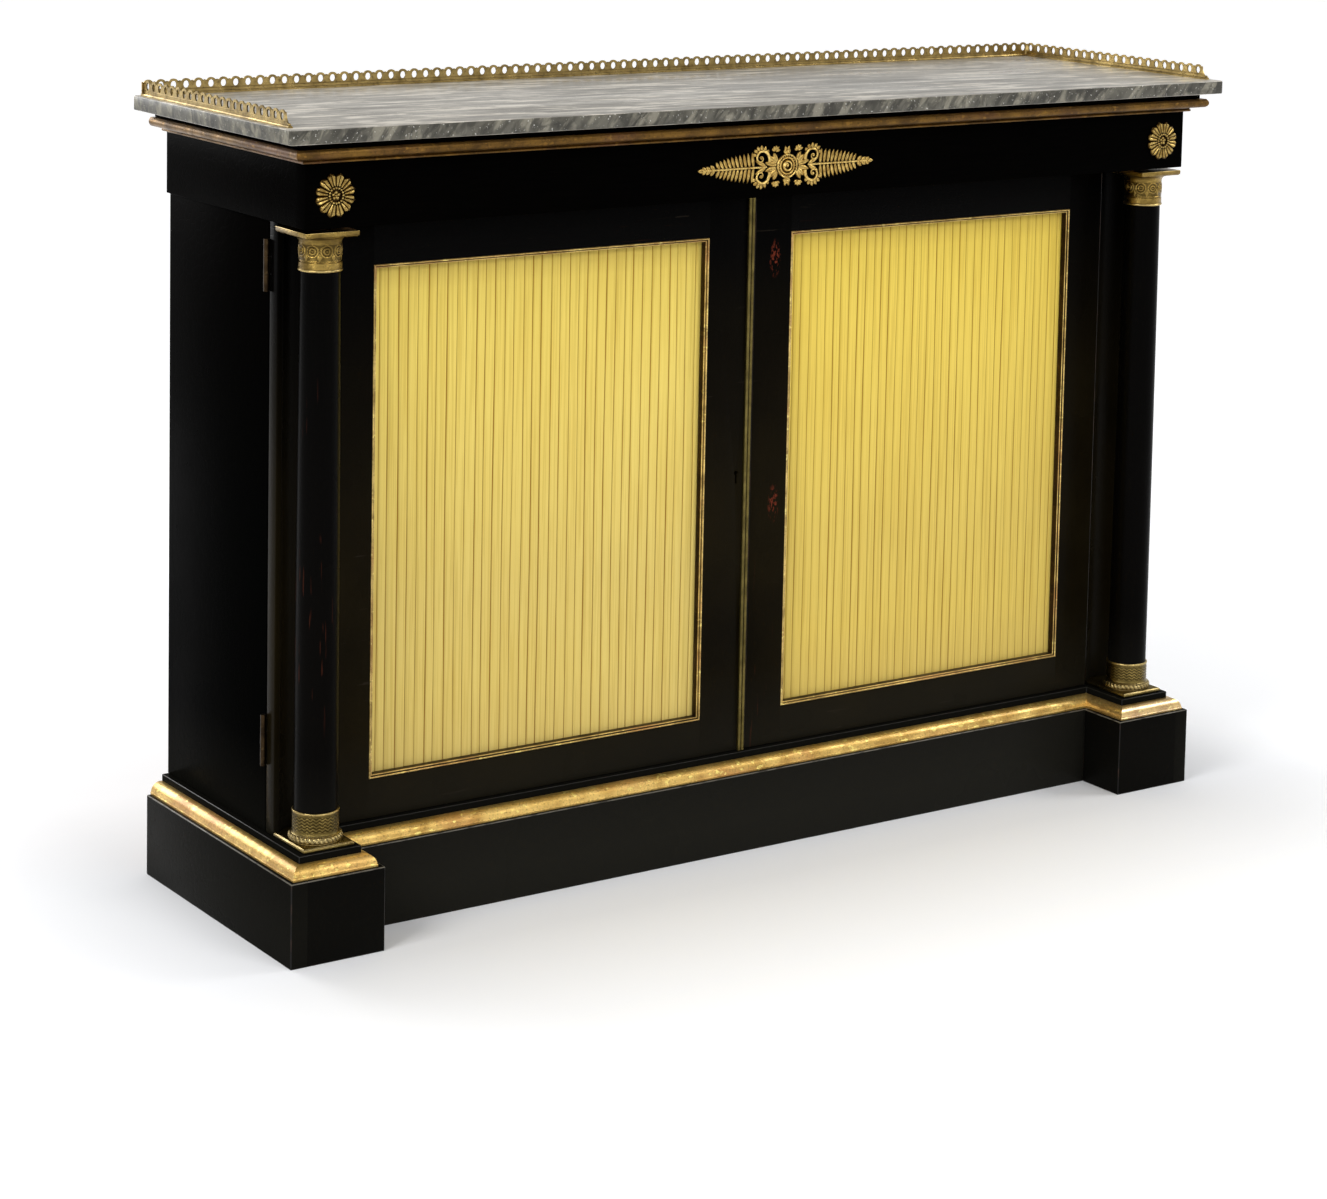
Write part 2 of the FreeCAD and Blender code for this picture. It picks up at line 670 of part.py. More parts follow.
def hinge_stile(name, side):
    """The stile on the hinge: its edge covers the carcase side, its thick part stands inside the carcase."""
    body = new_body(name)
    x_thick = x_inside - s.rebate_gap
    y_lip = y_face + s.lip_thick
    points = [
        (x_side * side, y_face),
        (x_hollow_outer * side, y_face),
        (x_hollow_inner * side, y_face),
        (x_opening * side, y_face),
        (x_opening * side, y_door_back),
        (x_thick * side, y_door_back),
        (x_thick * side, y_lip),
        (x_side * side, y_lip),
    ]
    plan = outline(body, "XY_Plane", name + "_plan", points, {1: (hollow_radius, side)})
    pad(body, plan, z_door_top - z_door, name + "_pad")
    seat(body, ZERO, ZERO, z_door)
    keep(body, name)


full_height = (z_door, z_door_top)
door_depth = (y_face, y_door_back)
openings = {"left": (-x_opening, x_left_opening), "right": (x_right_opening, x_opening)}
for word, side in SIDES.items():
    across = openings[word]
    hinge_stile(word + "_stile_outer", side)
    board(word + "_rail_top", across, door_depth, (z_opening_top, z_door_top))
    board(word + "_rail_bottom", across, door_depth, (z_door, z_opening))

# Inner stiles: the left one is mortised for the lock and pierced for the key, the right one takes the bolt.
x_lock = x_meeting - s.lock_width
y_lock = y_face + s.lock_setback
y_lock_back = y_lock + s.lock_thick
z_lock = (z_door + z_door_top) / 2 - s.lock_height / 2
z_lock_top = z_lock + s.lock_height
x_key = x_meeting - s.keyhole_inset
z_key = z_lock + s.lock_height / 2
z_bolt = z_key + s.keyhole_radius
z_bolt_top = z_bolt + s.bolt_height
y_bolt = y_lock + s.lock_thick / 2 - s.bolt_thick / 2
y_bolt_back = y_bolt + s.bolt_thick


def keyhole(name, y_from, y_to):
    """A round hole with a slot under it, through whatever lies between two depths."""
    round_hole = doc.addObject("Part::Cylinder", name + "_round")
    round_hole.setExpression("Radius", s.keyhole_radius.text)
    round_hole.setExpression("Height", (y_to - y_from).text)
    round_hole.Placement.Rotation = FreeCAD.Rotation(FreeCAD.Vector(1, 0, 0), -90)
    seat(round_hole, x_key, y_from, z_key)
    half_slot = s.keyhole_slot / 2
    slot = block(name + "_slot", (x_key - half_slot, x_key + half_slot), (y_from, y_to), (z_key - s.keyhole_drop, z_key))
    return joined(name, [round_hole, slot])


stile = block("left_stile_blank", (x_left_opening, x_meeting), door_depth, full_height)
mortise = block(
    "lock_mortise",
    (x_lock - s.lock_fit, x_meeting + s.overrun),
    (y_lock - s.lock_fit, y_lock_back + s.lock_fit),
    (z_lock - s.lock_fit, z_lock_top + s.lock_fit),
)
stile = cut("left_stile_mortised", stile, mortise)
keep(cut("left_stile_inner", stile, keyhole("stile_keyhole", y_face - s.overrun, y_lock)), "left_stile_inner")
stile = block("right_stile_blank", (x_meeting_right, x_right_opening), door_depth, full_height)
strike_end = x_meeting - s.bolt_setback + s.bolt_throw + s.overrun
strike = block(
    "strike_mortise",
    (x_meeting_right - s.overrun, strike_end),
    (y_bolt - s.overrun, y_bolt_back + s.overrun),
    (z_bolt - s.overrun, z_bolt_top + s.overrun),
)
keep(cut("right_stile_inner", stile, strike), "right_stile_inner")

# Lock: a hollow case in the mortise and a bolt that slides out of the door's edge.
case = block("lock_blank", (x_lock, x_meeting), (y_lock, y_lock_back), (z_lock, z_lock_top))
room = block(
    "lock_room",
    (x_lock + s.lock_wall, x_meeting - s.lock_wall),
    (y_lock + s.lock_wall, y_lock_back - s.lock_wall),
    (z_lock + s.lock_wall, z_lock_top - s.lock_wall),
)
slot = block(
    "lock_slot",
    (x_meeting - s.lock_wall * 2, x_meeting + s.overrun),
    (y_bolt - s.bolt_gap, y_bolt_back + s.bolt_gap),
    (z_bolt - s.bolt_gap, z_bolt_top + s.bolt_gap),
)
case = cut("lock_hollowed", case, joined("lock_inside", [room, slot]))
keep(cut("lock_case", case, keyhole("lock_keyhole", y_lock - s.overrun, y_lock + s.lock_wall * 2)), "lock_case")
x_bolt_end = x_meeting - s.bolt_setback
board("lock_bolt", (x_bolt_end - s.bolt_length, x_bolt_end), (y_bolt, y_bolt_back), (z_bolt, z_bolt_top))


# Panels: a gilt slip in each opening, pleated silk behind it, and a board behind the silk.
y_silk = y_face + s.slip_depth
y_silk_back = y_silk + s.silk_depth


def pleated(across, up):
    """Cloth in flat knife pleats: each rises to a fold, which steps down on the next."""
    low, high = across[0].value, across[1].value
    count = round(s.silk_pleats.value)
    pitch = (high - low) / count
    ridge = (y_silk + s.silk_clear).value
    root = ridge + s.silk_step.value
    points = [(low, y_silk_back.value)]
    for i in range(count):
        points += [(low + pitch * i, root), (low + pitch * (i + 1), ridge)]
    points.append((high, y_silk_back.value))
    cloth = Part.Face(closed_wire(points)).extrude(FreeCAD.Vector(0, 0, (up[1] - up[0]).value))
    cloth.translate(FreeCAD.Vector(0, 0, up[0].value))
    return cloth


for word, side in SIDES.items():
    across = openings[word]
    up = (z_opening, z_opening_top)
    ring = block(word + "_slip_blank", across, (y_face - s.slip_proud, y_silk), up)
    within = [(low + s.slip_width, high - s.slip_width) for low, high in (across, up)]
    window = block(word + "_slip_window", within[0], (y_face - s.overrun * 2, y_silk + s.overrun), within[1])
    keep(cut(word + "_slip", ring, window), word + "_slip")
    shaped(word + "_silk", pleated(across, up))
    board(word + "_silk_board", across, (y_silk_back, y_silk_back + s.silk_board), up)

# Astragal: a brass strip with two reeds on the meeting edge of the left door.
astragal = new_body("astragal")
x_reed = x_meeting - s.astragal_width / 2
y_reed = y_face - s.astragal_base
plan = outline(
    astragal,
    "XY_Plane",
    "astragal_plan",
    [
        (x_meeting - s.astragal_width, y_reed),
        (x_reed, y_reed),
        (x_meeting, y_reed),
        (x_meeting, y_face),
        (x_meeting - s.astragal_width, y_face),
    ],
    {0: (s.astragal_reed, 1), 1: (s.astragal_reed, 1)},
)
pad(astragal, plan, z_door_top - z_door, "astragal_pad")
seat(astragal, ZERO, ZERO, z_door)
keep(astragal, "astragal")

# Columns: a shaft between two square plates whose tails lie in the hollow of the stile.
x_hollow = (x_hollow_outer + x_hollow_inner) / 2
y_hollow = y_face - (hollow_radius - s.hollow_depth)
base_height = s.torus_height + s.collar_height
capital_height = s.ring_height + s.neck_height + s.bell_height
z_capital = z_abacus - capital_height


def tailed_plate(name, side, inner, outer, z):
    """The two parts of a square plate: one in front of the door, one in the hollow."""
    front = block(name + "_front", span(side, inner, outer), (y_frieze, y_face), z)
    room = block(name + "_room", span(side, inner, x_hollow_outer), (y_face, y_face + s.hollow_depth), z)
    disc = rod(name + "_disc", x_hollow * side, y_hollow, hollow_radius - s.hollow_fit, z)
    return [front, common(name + "_tail", room, disc)]


def on_axis(name, side, z, points, arcs=None):
    """A piece turned about the column's axis from its half section."""
    body = new_body(name)
    turned(body, outline(body, "XZ_Plane", name + "_section", points, arcs), name + "_turned")
    seat(body, x_column * side, y_column, z)
    return body


base_bore = s.column_foot_radius + s.sleeve_gap
torus_foot = s.torus_radius - s.torus_turn
torus_low = (s.torus_height - s.torus_flat) / 2
base_section = [
    (base_bore, ZERO),
    (torus_foot, ZERO),
    (s.torus_radius, torus_low),
    (s.torus_radius, torus_low + s.torus_flat),
    (torus_foot, s.torus_height),
    (s.collar_radius, s.torus_height),
    (s.collar_radius, base_height),
    (base_bore, base_height),
]
neck_bore = s.column_neck_radius + s.sleeve_gap
neck_top = s.ring_height + s.neck_height
capital_section = [
    (neck_bore, ZERO),
    (s.ring_radius, ZERO),
    (s.ring_radius, s.ring_height),
    (s.neck_radius, s.ring_height),
    (s.neck_radius, neck_top),
    (s.bell_radius, capital_height),
    (neck_bore, capital_height),
]
shaft_height = z_abacus - z_plate_top
shaft_section = [
    (ZERO, ZERO),
    (s.column_foot_radius, ZERO),
    (s.column_foot_radius, base_height),
    (s.column_neck_radius, shaft_height - capital_height),
    (s.column_neck_radius, shaft_height),
    (ZERO, shaft_height),
]
shaft_arcs = {2: (s.column_swell_radius, 1)}
for word, side in SIDES.items():
    name = word + "_base"
    base_plate = tailed_plate(name, side, x_plate_inner, x_side, (z_door, z_plate_top))
    collar = on_axis(name + "_collar", side, z_plate_top, base_section)
    base = joined(name, [*base_plate, collar])
    name = word + "_capital"
    x_abacus = (x_plate_inner + s.abacus_inset, x_side + s.abacus_outset)
    abacus = tailed_plate(name, side, *x_abacus, (z_abacus, z_abacus_top))
    neck = on_axis(name + "_neck", side, z_capital, capital_section)
    capital = joined(name, [*abacus, neck])
    name = word + "_base_and_capital"
    keep(group_of(name, [base, capital]), name)
    keep(on_axis(word + "_column", side, z_plate_top, shaft_section, shaft_arcs), word + "_column")


# Hinges: two on each door, their knuckles outside the carcase side.
def leaf(name, side, z, knuckles, y, pinned):
    """One leaf of a hinge: a plate, its own knuckles, and the pin or the bore for it."""
    parts = [block(name + "_plate", span(side, x_pin - s.leaf_width, x_side), y, z)]
    pitch = (z[1] - z[0] + s.knuckle_gap) / KNUCKLES
    for i in knuckles:
        foot = z[0] + pitch * i
        height = (foot, foot + pitch - s.knuckle_gap)
        parts.append(rod(f"{name}_knuckle{i}", x_pin * side, y_pin, s.knuckle_radius, height))
        parts.append(block(f"{name}_strap{i}", span(side, x_side, x_pin), y, height))
    if pinned:
        return joined(name, [*parts, rod(name + "_pin", x_pin * side, y_pin, s.pin_radius, z)])
    hole = rod(name + "_hole", x_pin * side, y_pin, s.pin_radius + s.pin_gap, z)
    return cut(name, joined(name + "_solid", parts), hole)


y_lip = y_face + s.lip_thick
half_leaf = s.leaf_height / 2
hinge_middles = {"lower": z_door + s.lower_hinge, "upper": z_door_top - s.upper_hinge}
carcase_leaves = []
for word, side in SIDES.items():
    door_leaves = []
    for place, middle in hinge_middles.items():
        z = (middle - half_leaf, middle + half_leaf)
        name = f"{word}_{place}_leaf"
        y = (y_side_front - s.leaf_thick, y_side_front)
        carcase_leaves.append(leaf(name + "_fixed", side, z, CARCASE_KNUCKLES, y, True))
        door_leaves.append(leaf(name + "_hung", side, z, DOOR_KNUCKLES, (y_lip, y_lip + s.leaf_thick), False))
    name = word + "_door_hinges"
    keep(group_of(name, door_leaves), name)
keep(group_of("carcase_hinges", carcase_leaves), "carcase_hinges")


# Gilt mounts on the frieze, drawn upright and laid on its face.
def disc(u, v, radius, thick):
    """A round boss about a point of the drawing."""
    return Part.makeCylinder(radius, thick, FreeCAD.Vector(u, v, 0))


def ring_of(u, v, outer, inner, thick):
    """A round band about a point of the drawing."""
    return disc(u, v, outer, thick).cut(disc(u, v, inner, thick))


def laid(shape, x, y, z):
    """A drawing in the XY plane, stood up on a face that looks to the front."""
    shape.rotate(FreeCAD.Vector(), FreeCAD.Vector(1, 0, 0), 90)
    shape.translate(FreeCAD.Vector(x.value, y.value, z.value))
    return shape


def fused(shapes):
    """Shapes that overlap, as one solid without the seams between them."""
    return shapes[0].fuse(shapes[1:]).removeSplitter()


z_mounts = z_soffit + s.frieze_height / 2
thick = s.mount_thick.value


def rosette():
    """A disc of petals with a raised ring and a button."""
    count = round(s.rosette_petals.value)
    half_tip = s.rosette_tip_share.value / 2
    points = []
    for i in range(count):
        for place, radius in ((-1 / 2, s.rosette_valley), (-half_tip, s.rosette_radius), (half_tip, s.rosette_radius)):
            angle = math.tau * (i + place) / count
            points.append((radius.value * math.cos(angle), radius.value * math.sin(angle)))
    petals = Part.Face(closed_wire(points))
    height = thick + s.rosette_ring_relief.value
    ring = ring_of(0, 0, s.rosette_ring.value, s.rosette_button.value, height)
    button = disc(0, 0, s.rosette_button.value, thick + s.rosette_button_relief.value)
    return fused([petals.extrude(FreeCAD.Vector(0, 0, thick)), ring, button])


x_rosette = x_frieze - s.rosette_inset
rosettes = [laid(rosette(), x_rosette * side, y_frieze, z_mounts) for side in SIDES.values()]
shaped("rosettes", Part.makeCompound(rosettes))


def frond(side):
    """A tapering fern frond whose leaflets sweep towards its tip."""
    start, tip = s.frond_start.value, s.mount_length.value / 2
    count = round(s.frond_leaflets.value)
    pitch = (tip - start) / (count + 1)
    stem, root = s.frond_stem.value / 2, s.frond_width.value / 2
    upper = []
    for i in range(count):
        share = i / count
        upper.append((start + pitch * i, stem * (1 - share) + pitch * share / 2))
        upper.append((start + pitch * i + s.frond_sweep.value, root * (1 - share**2) + stem * share))
    points = [(u * side, v) for u, v in [*upper, (tip, 0), *[(u, -v) for u, v in reversed(upper)]]]
    return Part.Face(closed_wire(points)).extrude(FreeCAD.Vector(0, 0, thick))


def bar(length, width):
    """A straight bar through the middle of the drawing."""
    return Part.makeBox(length, width, thick, FreeCAD.Vector(-length / 2, -width / 2, 0))


bud_rise = s.mount_height.value / 2 - s.bud_radius.value
roundel = thick + s.roundel_relief.value
mount = [
    bar(s.frond_start.value * 2 + s.spine_width.value, s.spine_width.value),
    bar(s.bud_stem.value, bud_rise * 2),
    ring_of(0, 0, s.roundel_radius.value, s.roundel_eye.value, roundel),
    disc(0, 0, s.roundel_eye.value, roundel + s.roundel_relief.value / 2),
]
for side in SIDES.values():
    mount.append(disc(s.wing_reach.value * side, 0, s.wing_radius.value, thick))
    mount.append(disc(0, bud_rise * side, s.bud_radius.value, roundel))
    for up in SIDES.values():
        scroll = (s.scroll_reach.value * side, s.scroll_rise.value * up)
        mount.append(ring_of(*scroll, s.scroll_radius.value, s.scroll_eye.value, thick))
mount += [frond(side) for side in SIDES.values()]
shaped("centre_mount", laid(fused(mount), s.mount_offset, y_frieze, z_mounts))

# Every sub-part is whole before it is written.
doc.recompute()
for item in doc.Objects:
    if {"Invalid", "Error"} & set(item.State):
        raise ValueError(f"{item.Name} did not recompute")
os.makedirs("parts", exist_ok=True)
for piece in sub_parts:
    shape = piece.Shape
    if shape.isNull() or not shape.isValid() or not shape.Solids:
        raise ValueError(f"{piece.Label} has no sound shape")
    shape.exportStep(f"parts/{piece.Label}.step")
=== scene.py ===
import json
import math

import bmesh
import bpy
from mathutils import Matrix, Vector

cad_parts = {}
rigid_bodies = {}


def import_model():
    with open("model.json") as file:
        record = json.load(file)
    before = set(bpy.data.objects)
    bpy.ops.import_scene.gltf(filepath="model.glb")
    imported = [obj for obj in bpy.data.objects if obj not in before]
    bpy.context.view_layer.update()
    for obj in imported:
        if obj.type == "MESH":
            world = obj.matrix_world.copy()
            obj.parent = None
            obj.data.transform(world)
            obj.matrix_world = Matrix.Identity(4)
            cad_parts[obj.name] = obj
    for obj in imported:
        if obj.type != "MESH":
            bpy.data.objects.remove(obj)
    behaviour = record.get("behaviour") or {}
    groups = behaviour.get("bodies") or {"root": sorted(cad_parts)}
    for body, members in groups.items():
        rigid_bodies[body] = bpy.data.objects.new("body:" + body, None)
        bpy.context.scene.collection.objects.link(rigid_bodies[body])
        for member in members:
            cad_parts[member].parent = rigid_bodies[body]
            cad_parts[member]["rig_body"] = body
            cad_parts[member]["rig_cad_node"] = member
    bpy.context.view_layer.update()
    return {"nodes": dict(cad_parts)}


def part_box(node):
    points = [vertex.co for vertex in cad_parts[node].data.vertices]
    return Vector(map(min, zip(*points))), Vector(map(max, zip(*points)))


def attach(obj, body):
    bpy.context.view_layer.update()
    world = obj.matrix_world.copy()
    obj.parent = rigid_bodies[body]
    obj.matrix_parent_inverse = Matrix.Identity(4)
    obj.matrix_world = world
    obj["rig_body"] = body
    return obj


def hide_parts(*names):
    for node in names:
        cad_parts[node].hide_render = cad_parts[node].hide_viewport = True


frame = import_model()
solids = frame["nodes"]
bpy.ops.object.select_all(action="DESELECT")

# Camera: a long lens at the left of the front, a little above the marble, with its film shifted down
# to take in the floor.
camera_place = Vector((-2.2901, -3.2775, 1.3235))
camera_heading, camera_dip, camera_roll = math.radians(-34.161), math.radians(6.015), math.radians(1.112)
camera_data = bpy.data.cameras.new("camera")
camera_data.lens = 89.888
camera_data.sensor_width = 36
camera_data.shift_x = 0.0011
camera_data.shift_y = -0.3754
camera_data.clip_end = 200
camera = bpy.data.objects.new("camera", camera_data)
bpy.context.scene.collection.objects.link(camera)
camera.matrix_world = (
    Matrix.Translation(camera_place)
    @ Matrix.Rotation(camera_heading, 4, "Z")
    @ Matrix.Rotation(math.pi / 2 - camera_dip, 4, "X")
    @ Matrix.Rotation(camera_roll, 4, "Z")
)
bpy.context.scene.camera = camera
bpy.context.scene.view_settings.view_transform = "Standard"


# Floor and light: white paper that keeps a soft shadow round the plinth, deepened there by a painted shadow
# where the paper's glow is weaker, a pale dome, and four soft lamps: two large ones at the left and in front,
# a weaker one behind, and a small one at the right.
class Finish:
    """A material, its shader, and the place of a point on the piece. Its nodes are added one by one."""

    def __init__(self, name, **sockets):
        self.material = bpy.data.materials.new(name)
        self.material.use_nodes = True
        self.nodes = self.material.node_tree.nodes
        self.links = self.material.node_tree.links
        self.shader = self.nodes["Principled BSDF"]
        for socket, value in sockets.items():
            self.shader.inputs[socket.replace("_", " ")].default_value = value
        self.place = self.nodes.new("ShaderNodeTexCoord").outputs["Object"]

    def put(self, kind, inputs, out=0, **settings):
        """Add a node, set or join its inputs, and hand back one of its outputs."""
        node = self.nodes.new("ShaderNode" + kind)
        for name, value in settings.items():
            setattr(node, name, value)
        for socket, value in inputs.items():
            if isinstance(value, bpy.types.NodeSocket):
                self.links.new(value, node.inputs[socket])
            else:
                node.inputs[socket].default_value = value
        return node.outputs[out]

    def along(self, axis):
        """How far a point lies along an axis."""
        return self.put("SeparateXYZ", {0: self.place}, axis)

    def noise(self, scale, stretch=(1, 1, 1), detail=4.0, distortion=0.0, turn=(0, 0, 0)):
        """Cloudy grain, drawn out along an axis by a small stretch number."""
        size = [1 / share for share in stretch]
        drawn = {"Vector": self.place, "Scale": size, "Rotation": turn}
        grain = {"Scale": scale, "Detail": detail, "Distortion": distortion}
        return self.put("TexNoise", {"Vector": self.put("Mapping", drawn, vector_type="TEXTURE"), **grain})

    def between(self, value, low, high, to_low=0.0, to_high=1.0):
        """Spread a range of a value over another range."""
        ends = {"From Min": low, "From Max": high, "To Min": to_low, "To Max": to_high}
        return self.put("MapRange", {"Value": value, **ends})

    def math(self, operation, first, second=0.0):
        """One sum on two values."""
        return self.put("Math", {0: first, 1: second}, operation=operation)

    def times(self, first, second):
        """Two values multiplied."""
        return self.math("MULTIPLY", first, second)

    def vector(self, operation, first, second=(0, 0, 0), out=0):
        """One sum on two vectors."""
        return self.put("VectorMath", {0: first, 1: second}, out, operation=operation)

    def mixed(self, share, first, second, blend="MIX"):
        """Two colours mixed by a share."""
        inputs = {"Fac": share}
        for socket, colour in (("Color1", first), ("Color2", second)):
            inputs[socket] = colour if isinstance(colour, bpy.types.NodeSocket) else (*colour, 1)
        return self.put("MixRGB", inputs, blend_type=blend)

    def to(self, socket, value):
        """Join a value to a socket of the shader."""
        self.links.new(value, self.shader.inputs[socket])

    def bumps(self, *layers):
        """Raise the surface by each (height, distance in metres) in turn."""
        normal = None
        for height, distance in layers:
            inputs = {"Height": height, "Distance": distance, "Strength": 1.0}
            if normal:
                inputs["Normal"] = normal
            normal = self.put("Bump", inputs)
        self.to("Normal", normal)


bpy.ops.mesh.primitive_grid_add(x_subdivisions=8, y_subdivisions=8, size=80, location=(0, 0, 0))
floor = bpy.context.object
floor.name = "floor"
paper = Finish(
    "white_paper", Base_Color=(0.785, 0.79, 0.805, 1), Roughness=0.9, Specular_IOR_Level=0.1,
    Emission_Color=(1, 1, 1, 1),
)
path = paper.nodes.new("ShaderNodeLightPath")
seen = paper.math("ADD", path.outputs["Is Camera Ray"], path.outputs["Is Glossy Ray"])
seen = paper.math("ADD", seen, path.outputs["Is Transmission Ray"])
# The paper's glow falls off near the plinth's footprint: a painted shadow round the plinth, on top of the
# cast one.
shadow_shift, shadow_half = (0, 0.045, 0), (0.59, 0.16, 0)
outside = paper.vector("ABSOLUTE", paper.vector("ADD", paper.place, shadow_shift))
outside = paper.vector("MAXIMUM", paper.vector("SUBTRACT", outside, shadow_half))
away = paper.vector("LENGTH", outside, out=1)
glow_with_painted_shadow = paper.math("ADD", paper.between(away, 0.0, 0.34, 0.01, 0.27), paper.between(away, 0.4, 2.4, 0.0, 0.36))
paper.to("Emission Strength", paper.times(seen, glow_with_painted_shadow))
floor.data.materials.append(paper.material)

dome = bpy.data.worlds.new("dome")
dome.use_nodes = True
bpy.context.scene.world = dome
sky, wires = dome.node_tree.nodes, dome.node_tree.links
direction = sky.new("ShaderNodeTexCoord").outputs["Generated"]
height = sky.new("ShaderNodeSeparateXYZ")
wires.new(direction, height.inputs[0])
fade = sky.new("ShaderNodeMapRange")
wires.new(height.outputs["Z"], fade.inputs["Value"])
for socket, value in (("From Min", 0.02), ("From Max", 0.55), ("To Min", 1.0), ("To Max", 0.42)):
    fade.inputs[socket].default_value = value
wires.new(fade.outputs[0], sky["Background"].inputs["Strength"])
sky["Background"].inputs["Color"].default_value = (1, 1, 1, 1)


def soft_lamp(name, place, target, size, power):
    """A square lamp of a size that faces a point."""
    lamp = bpy.data.lights.new(name, "AREA")
    lamp.size = size
    lamp.energy = power
    holder = bpy.data.objects.new(name, lamp)
    holder.location = place
    holder.rotation_euler = (Vector(target) - Vector(place)).to_track_quat("-Z", "Y").to_euler()
    bpy.context.scene.collection.objects.link(holder)


soft_lamp("lamp_left", (-3.6, -1.2, 2.9), (0, 0, 0.6), 1.8, 90)
soft_lamp("lamp_front", (0.6, -4.2, 3.4), (0, 0, 0.5), 2.0, 75)
soft_lamp("lamp_behind", (-1.3, 2.8, 1.5), (-0.65, 0, 0.1), 1.5, 38)
soft_lamp("lamp_right", (2.3, -0.95, 1.95), (0.6, -0.2, 0.1), 0.9, 20)


# Plinth: five softwood boards and two blocks, glued and nailed, then ebonised and polished. Their arrises
# are rubbed round by use. Every board is a copy of its solid with its arrises eased.
def toned(colour, *shares):
    """A colour multiplied by one share, or by one each for its red, green and blue."""
    return tuple(part * share for part, share in zip(colour, shares if len(shares) == 3 else shares * 3))


def ebonised(name, along, brown=(0.0016, 0.0013, 0.001), gloss=0.018, floor_sheen=1.0):
    """Black polish over a close grain along an axis, grey low down as a painted floor reflection, reddish
    where it is worn.
    """
    finish = Finish(name, Roughness=0.3, Specular_IOR_Level=gloss)
    fine, coarse = [[share if axis == along else 1 for axis in "XYZ"] for share in (0.06, 0.16)]
    grain = finish.noise(420, fine, 3)
    cloud = finish.noise(5, detail=5)
    low = finish.along("Z")
    thin = finish.times(finish.between(low, 0.74, 0.4), finish.between(cloud, 0.3, 0.6, 0.4, 1))
    black = finish.mixed(grain, (0.0004, 0.0004, 0.0004), (0.0013, 0.0011, 0.0009))
    polish_and_floor_sheen = finish.mixed(thin, black, brown)
    # Below about 0.22 m the polish is mixed towards grey, a painted reflection of the white floor, by a share
    # set for each part.
    grey = toned((0.0088, 0.0084, 0.0066), floor_sheen)
    polish_and_floor_sheen = finish.mixed(finish.between(low, 0.22, 0.04, 0, 0.85), polish_and_floor_sheen, grey)
    scratch = finish.between(finish.noise(300, fine, 2), 0.66, 0.7)
    patch = finish.between(finish.noise(7, coarse, 6), 0.62, 0.72)
    worn = finish.times(finish.times(scratch, patch), 0.55)
    finish.to("Base Color", finish.mixed(worn, polish_and_floor_sheen, (0.07, 0.018, 0.009)))
    finish.to("Roughness", finish.between(cloud, 0.3, 0.7, 0.2, 0.36))
    crackle = finish.put("TexVoronoi", {"Vector": finish.place, "Scale": 90.0}, feature="DISTANCE_TO_EDGE")
    finish.bumps((grain, 0.00005), (finish.between(crackle, 0.0, 0.06), 0.00006), (cloud, 0.0012))
    return finish


def worn_and_highlit(name):
    """Black polish rubbed thin on an arris, brown in places, and a broken pale line painted on top arrises as
    a highlight.
    """
    finish = Finish(name, Roughness=0.28, Specular_IOR_Level=0.2)
    patch = finish.between(finish.noise(38, detail=6), 0.5, 0.64)
    colour = finish.mixed(patch, (0.003, 0.0026, 0.002), (0.035, 0.016, 0.008))
    low = finish.along("Z")
    broken_highlight = finish.between(finish.noise(75, detail=5), 0.36, 0.5, 0.25, 1)
    # A thin pale line on the top arris of the plinth front, and a fainter one on the deck, is a painted
    # highlight.
    for level, pale in ((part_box("plinth_front")[1].z, 0.1), (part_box("plinth_deck")[1].z, 0.012)):
        off = finish.math("ABSOLUTE", finish.math("SUBTRACT", low, level - 0.0004))
        near = finish.between(off, 0.0012, 0.0008)
        colour = finish.mixed(finish.times(near, broken_highlight), colour, toned((1, 0.92, 0.74), pale))
    finish.to("Base Color", colour)
    return finish.material


ebony_x = ebonised("ebonised_along_front", "X", floor_sheen=1.6).material
ebony_block = ebonised("ebonised_block", "X", gloss=0.014, floor_sheen=0.5).material
ebony_y = ebonised("ebonised_along_depth", "Y", gloss=0.008, floor_sheen=0.9).material
ebony_z = ebonised("ebonised_upright", "Z").material
shade_x, shade_y, shade_z = [
    ebonised("ebonised_matt_" + axis, axis, (0.0006, 0.0007, 0.0006), 0.001).material for axis in "XYZ"
]
arris = worn_and_highlit("rubbed_arris_painted_highlight")


def modelling():
    """Leave edit mode if need be, with nothing selected."""
    if bpy.context.object and bpy.context.object.mode != "OBJECT":
        bpy.ops.object.mode_set(mode="OBJECT")
    bpy.ops.object.select_all(action="DESELECT")


def in_hand(piece):
    """Leave edit mode, and select this piece alone."""
    modelling()
    piece.select_set(True)
    bpy.context.view_layer.objects.active = piece


def pick(kind, wanted):
    """In edit mode, select the faces, edges or corners that a test accepts, and nothing else."""
    bpy.ops.mesh.select_all(action="DESELECT")
    bpy.ops.mesh.select_mode(type=kind)
    mesh = bmesh.from_edit_mesh(bpy.context.object.data)
    parts = {"FACE": mesh.faces, "EDGE": mesh.edges, "VERT": mesh.verts}[kind]
    for part in parts:
        part.select = wanted(part)
    mesh.select_flush_mode()
    bmesh.update_edit_mesh(bpy.context.object.data)


def sharper(edge, degrees):
    """Whether two faces meet on an edge at more than an angle."""
    return len(edge.link_faces) == 2 and edge.calc_face_angle() > math.radians(degrees)


def merged(threshold=0.000005):
    """In edit mode, select all and make corners that lie together one."""
    bpy.ops.mesh.select_all(action="SELECT")
    bpy.ops.mesh.remove_doubles(threshold=threshold)


def fitted(piece, name, body, slot, finishes, *stands_for):
    """Name a finished piece, give it its finishes, and fix it to its body."""
    modelling()
    piece.name = piece.data.name = name
    piece.data.materials.clear()
    for finish in finishes:
        piece.data.materials.append(finish)
    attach(piece, body)
    if stands_for:
        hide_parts(*stands_for)


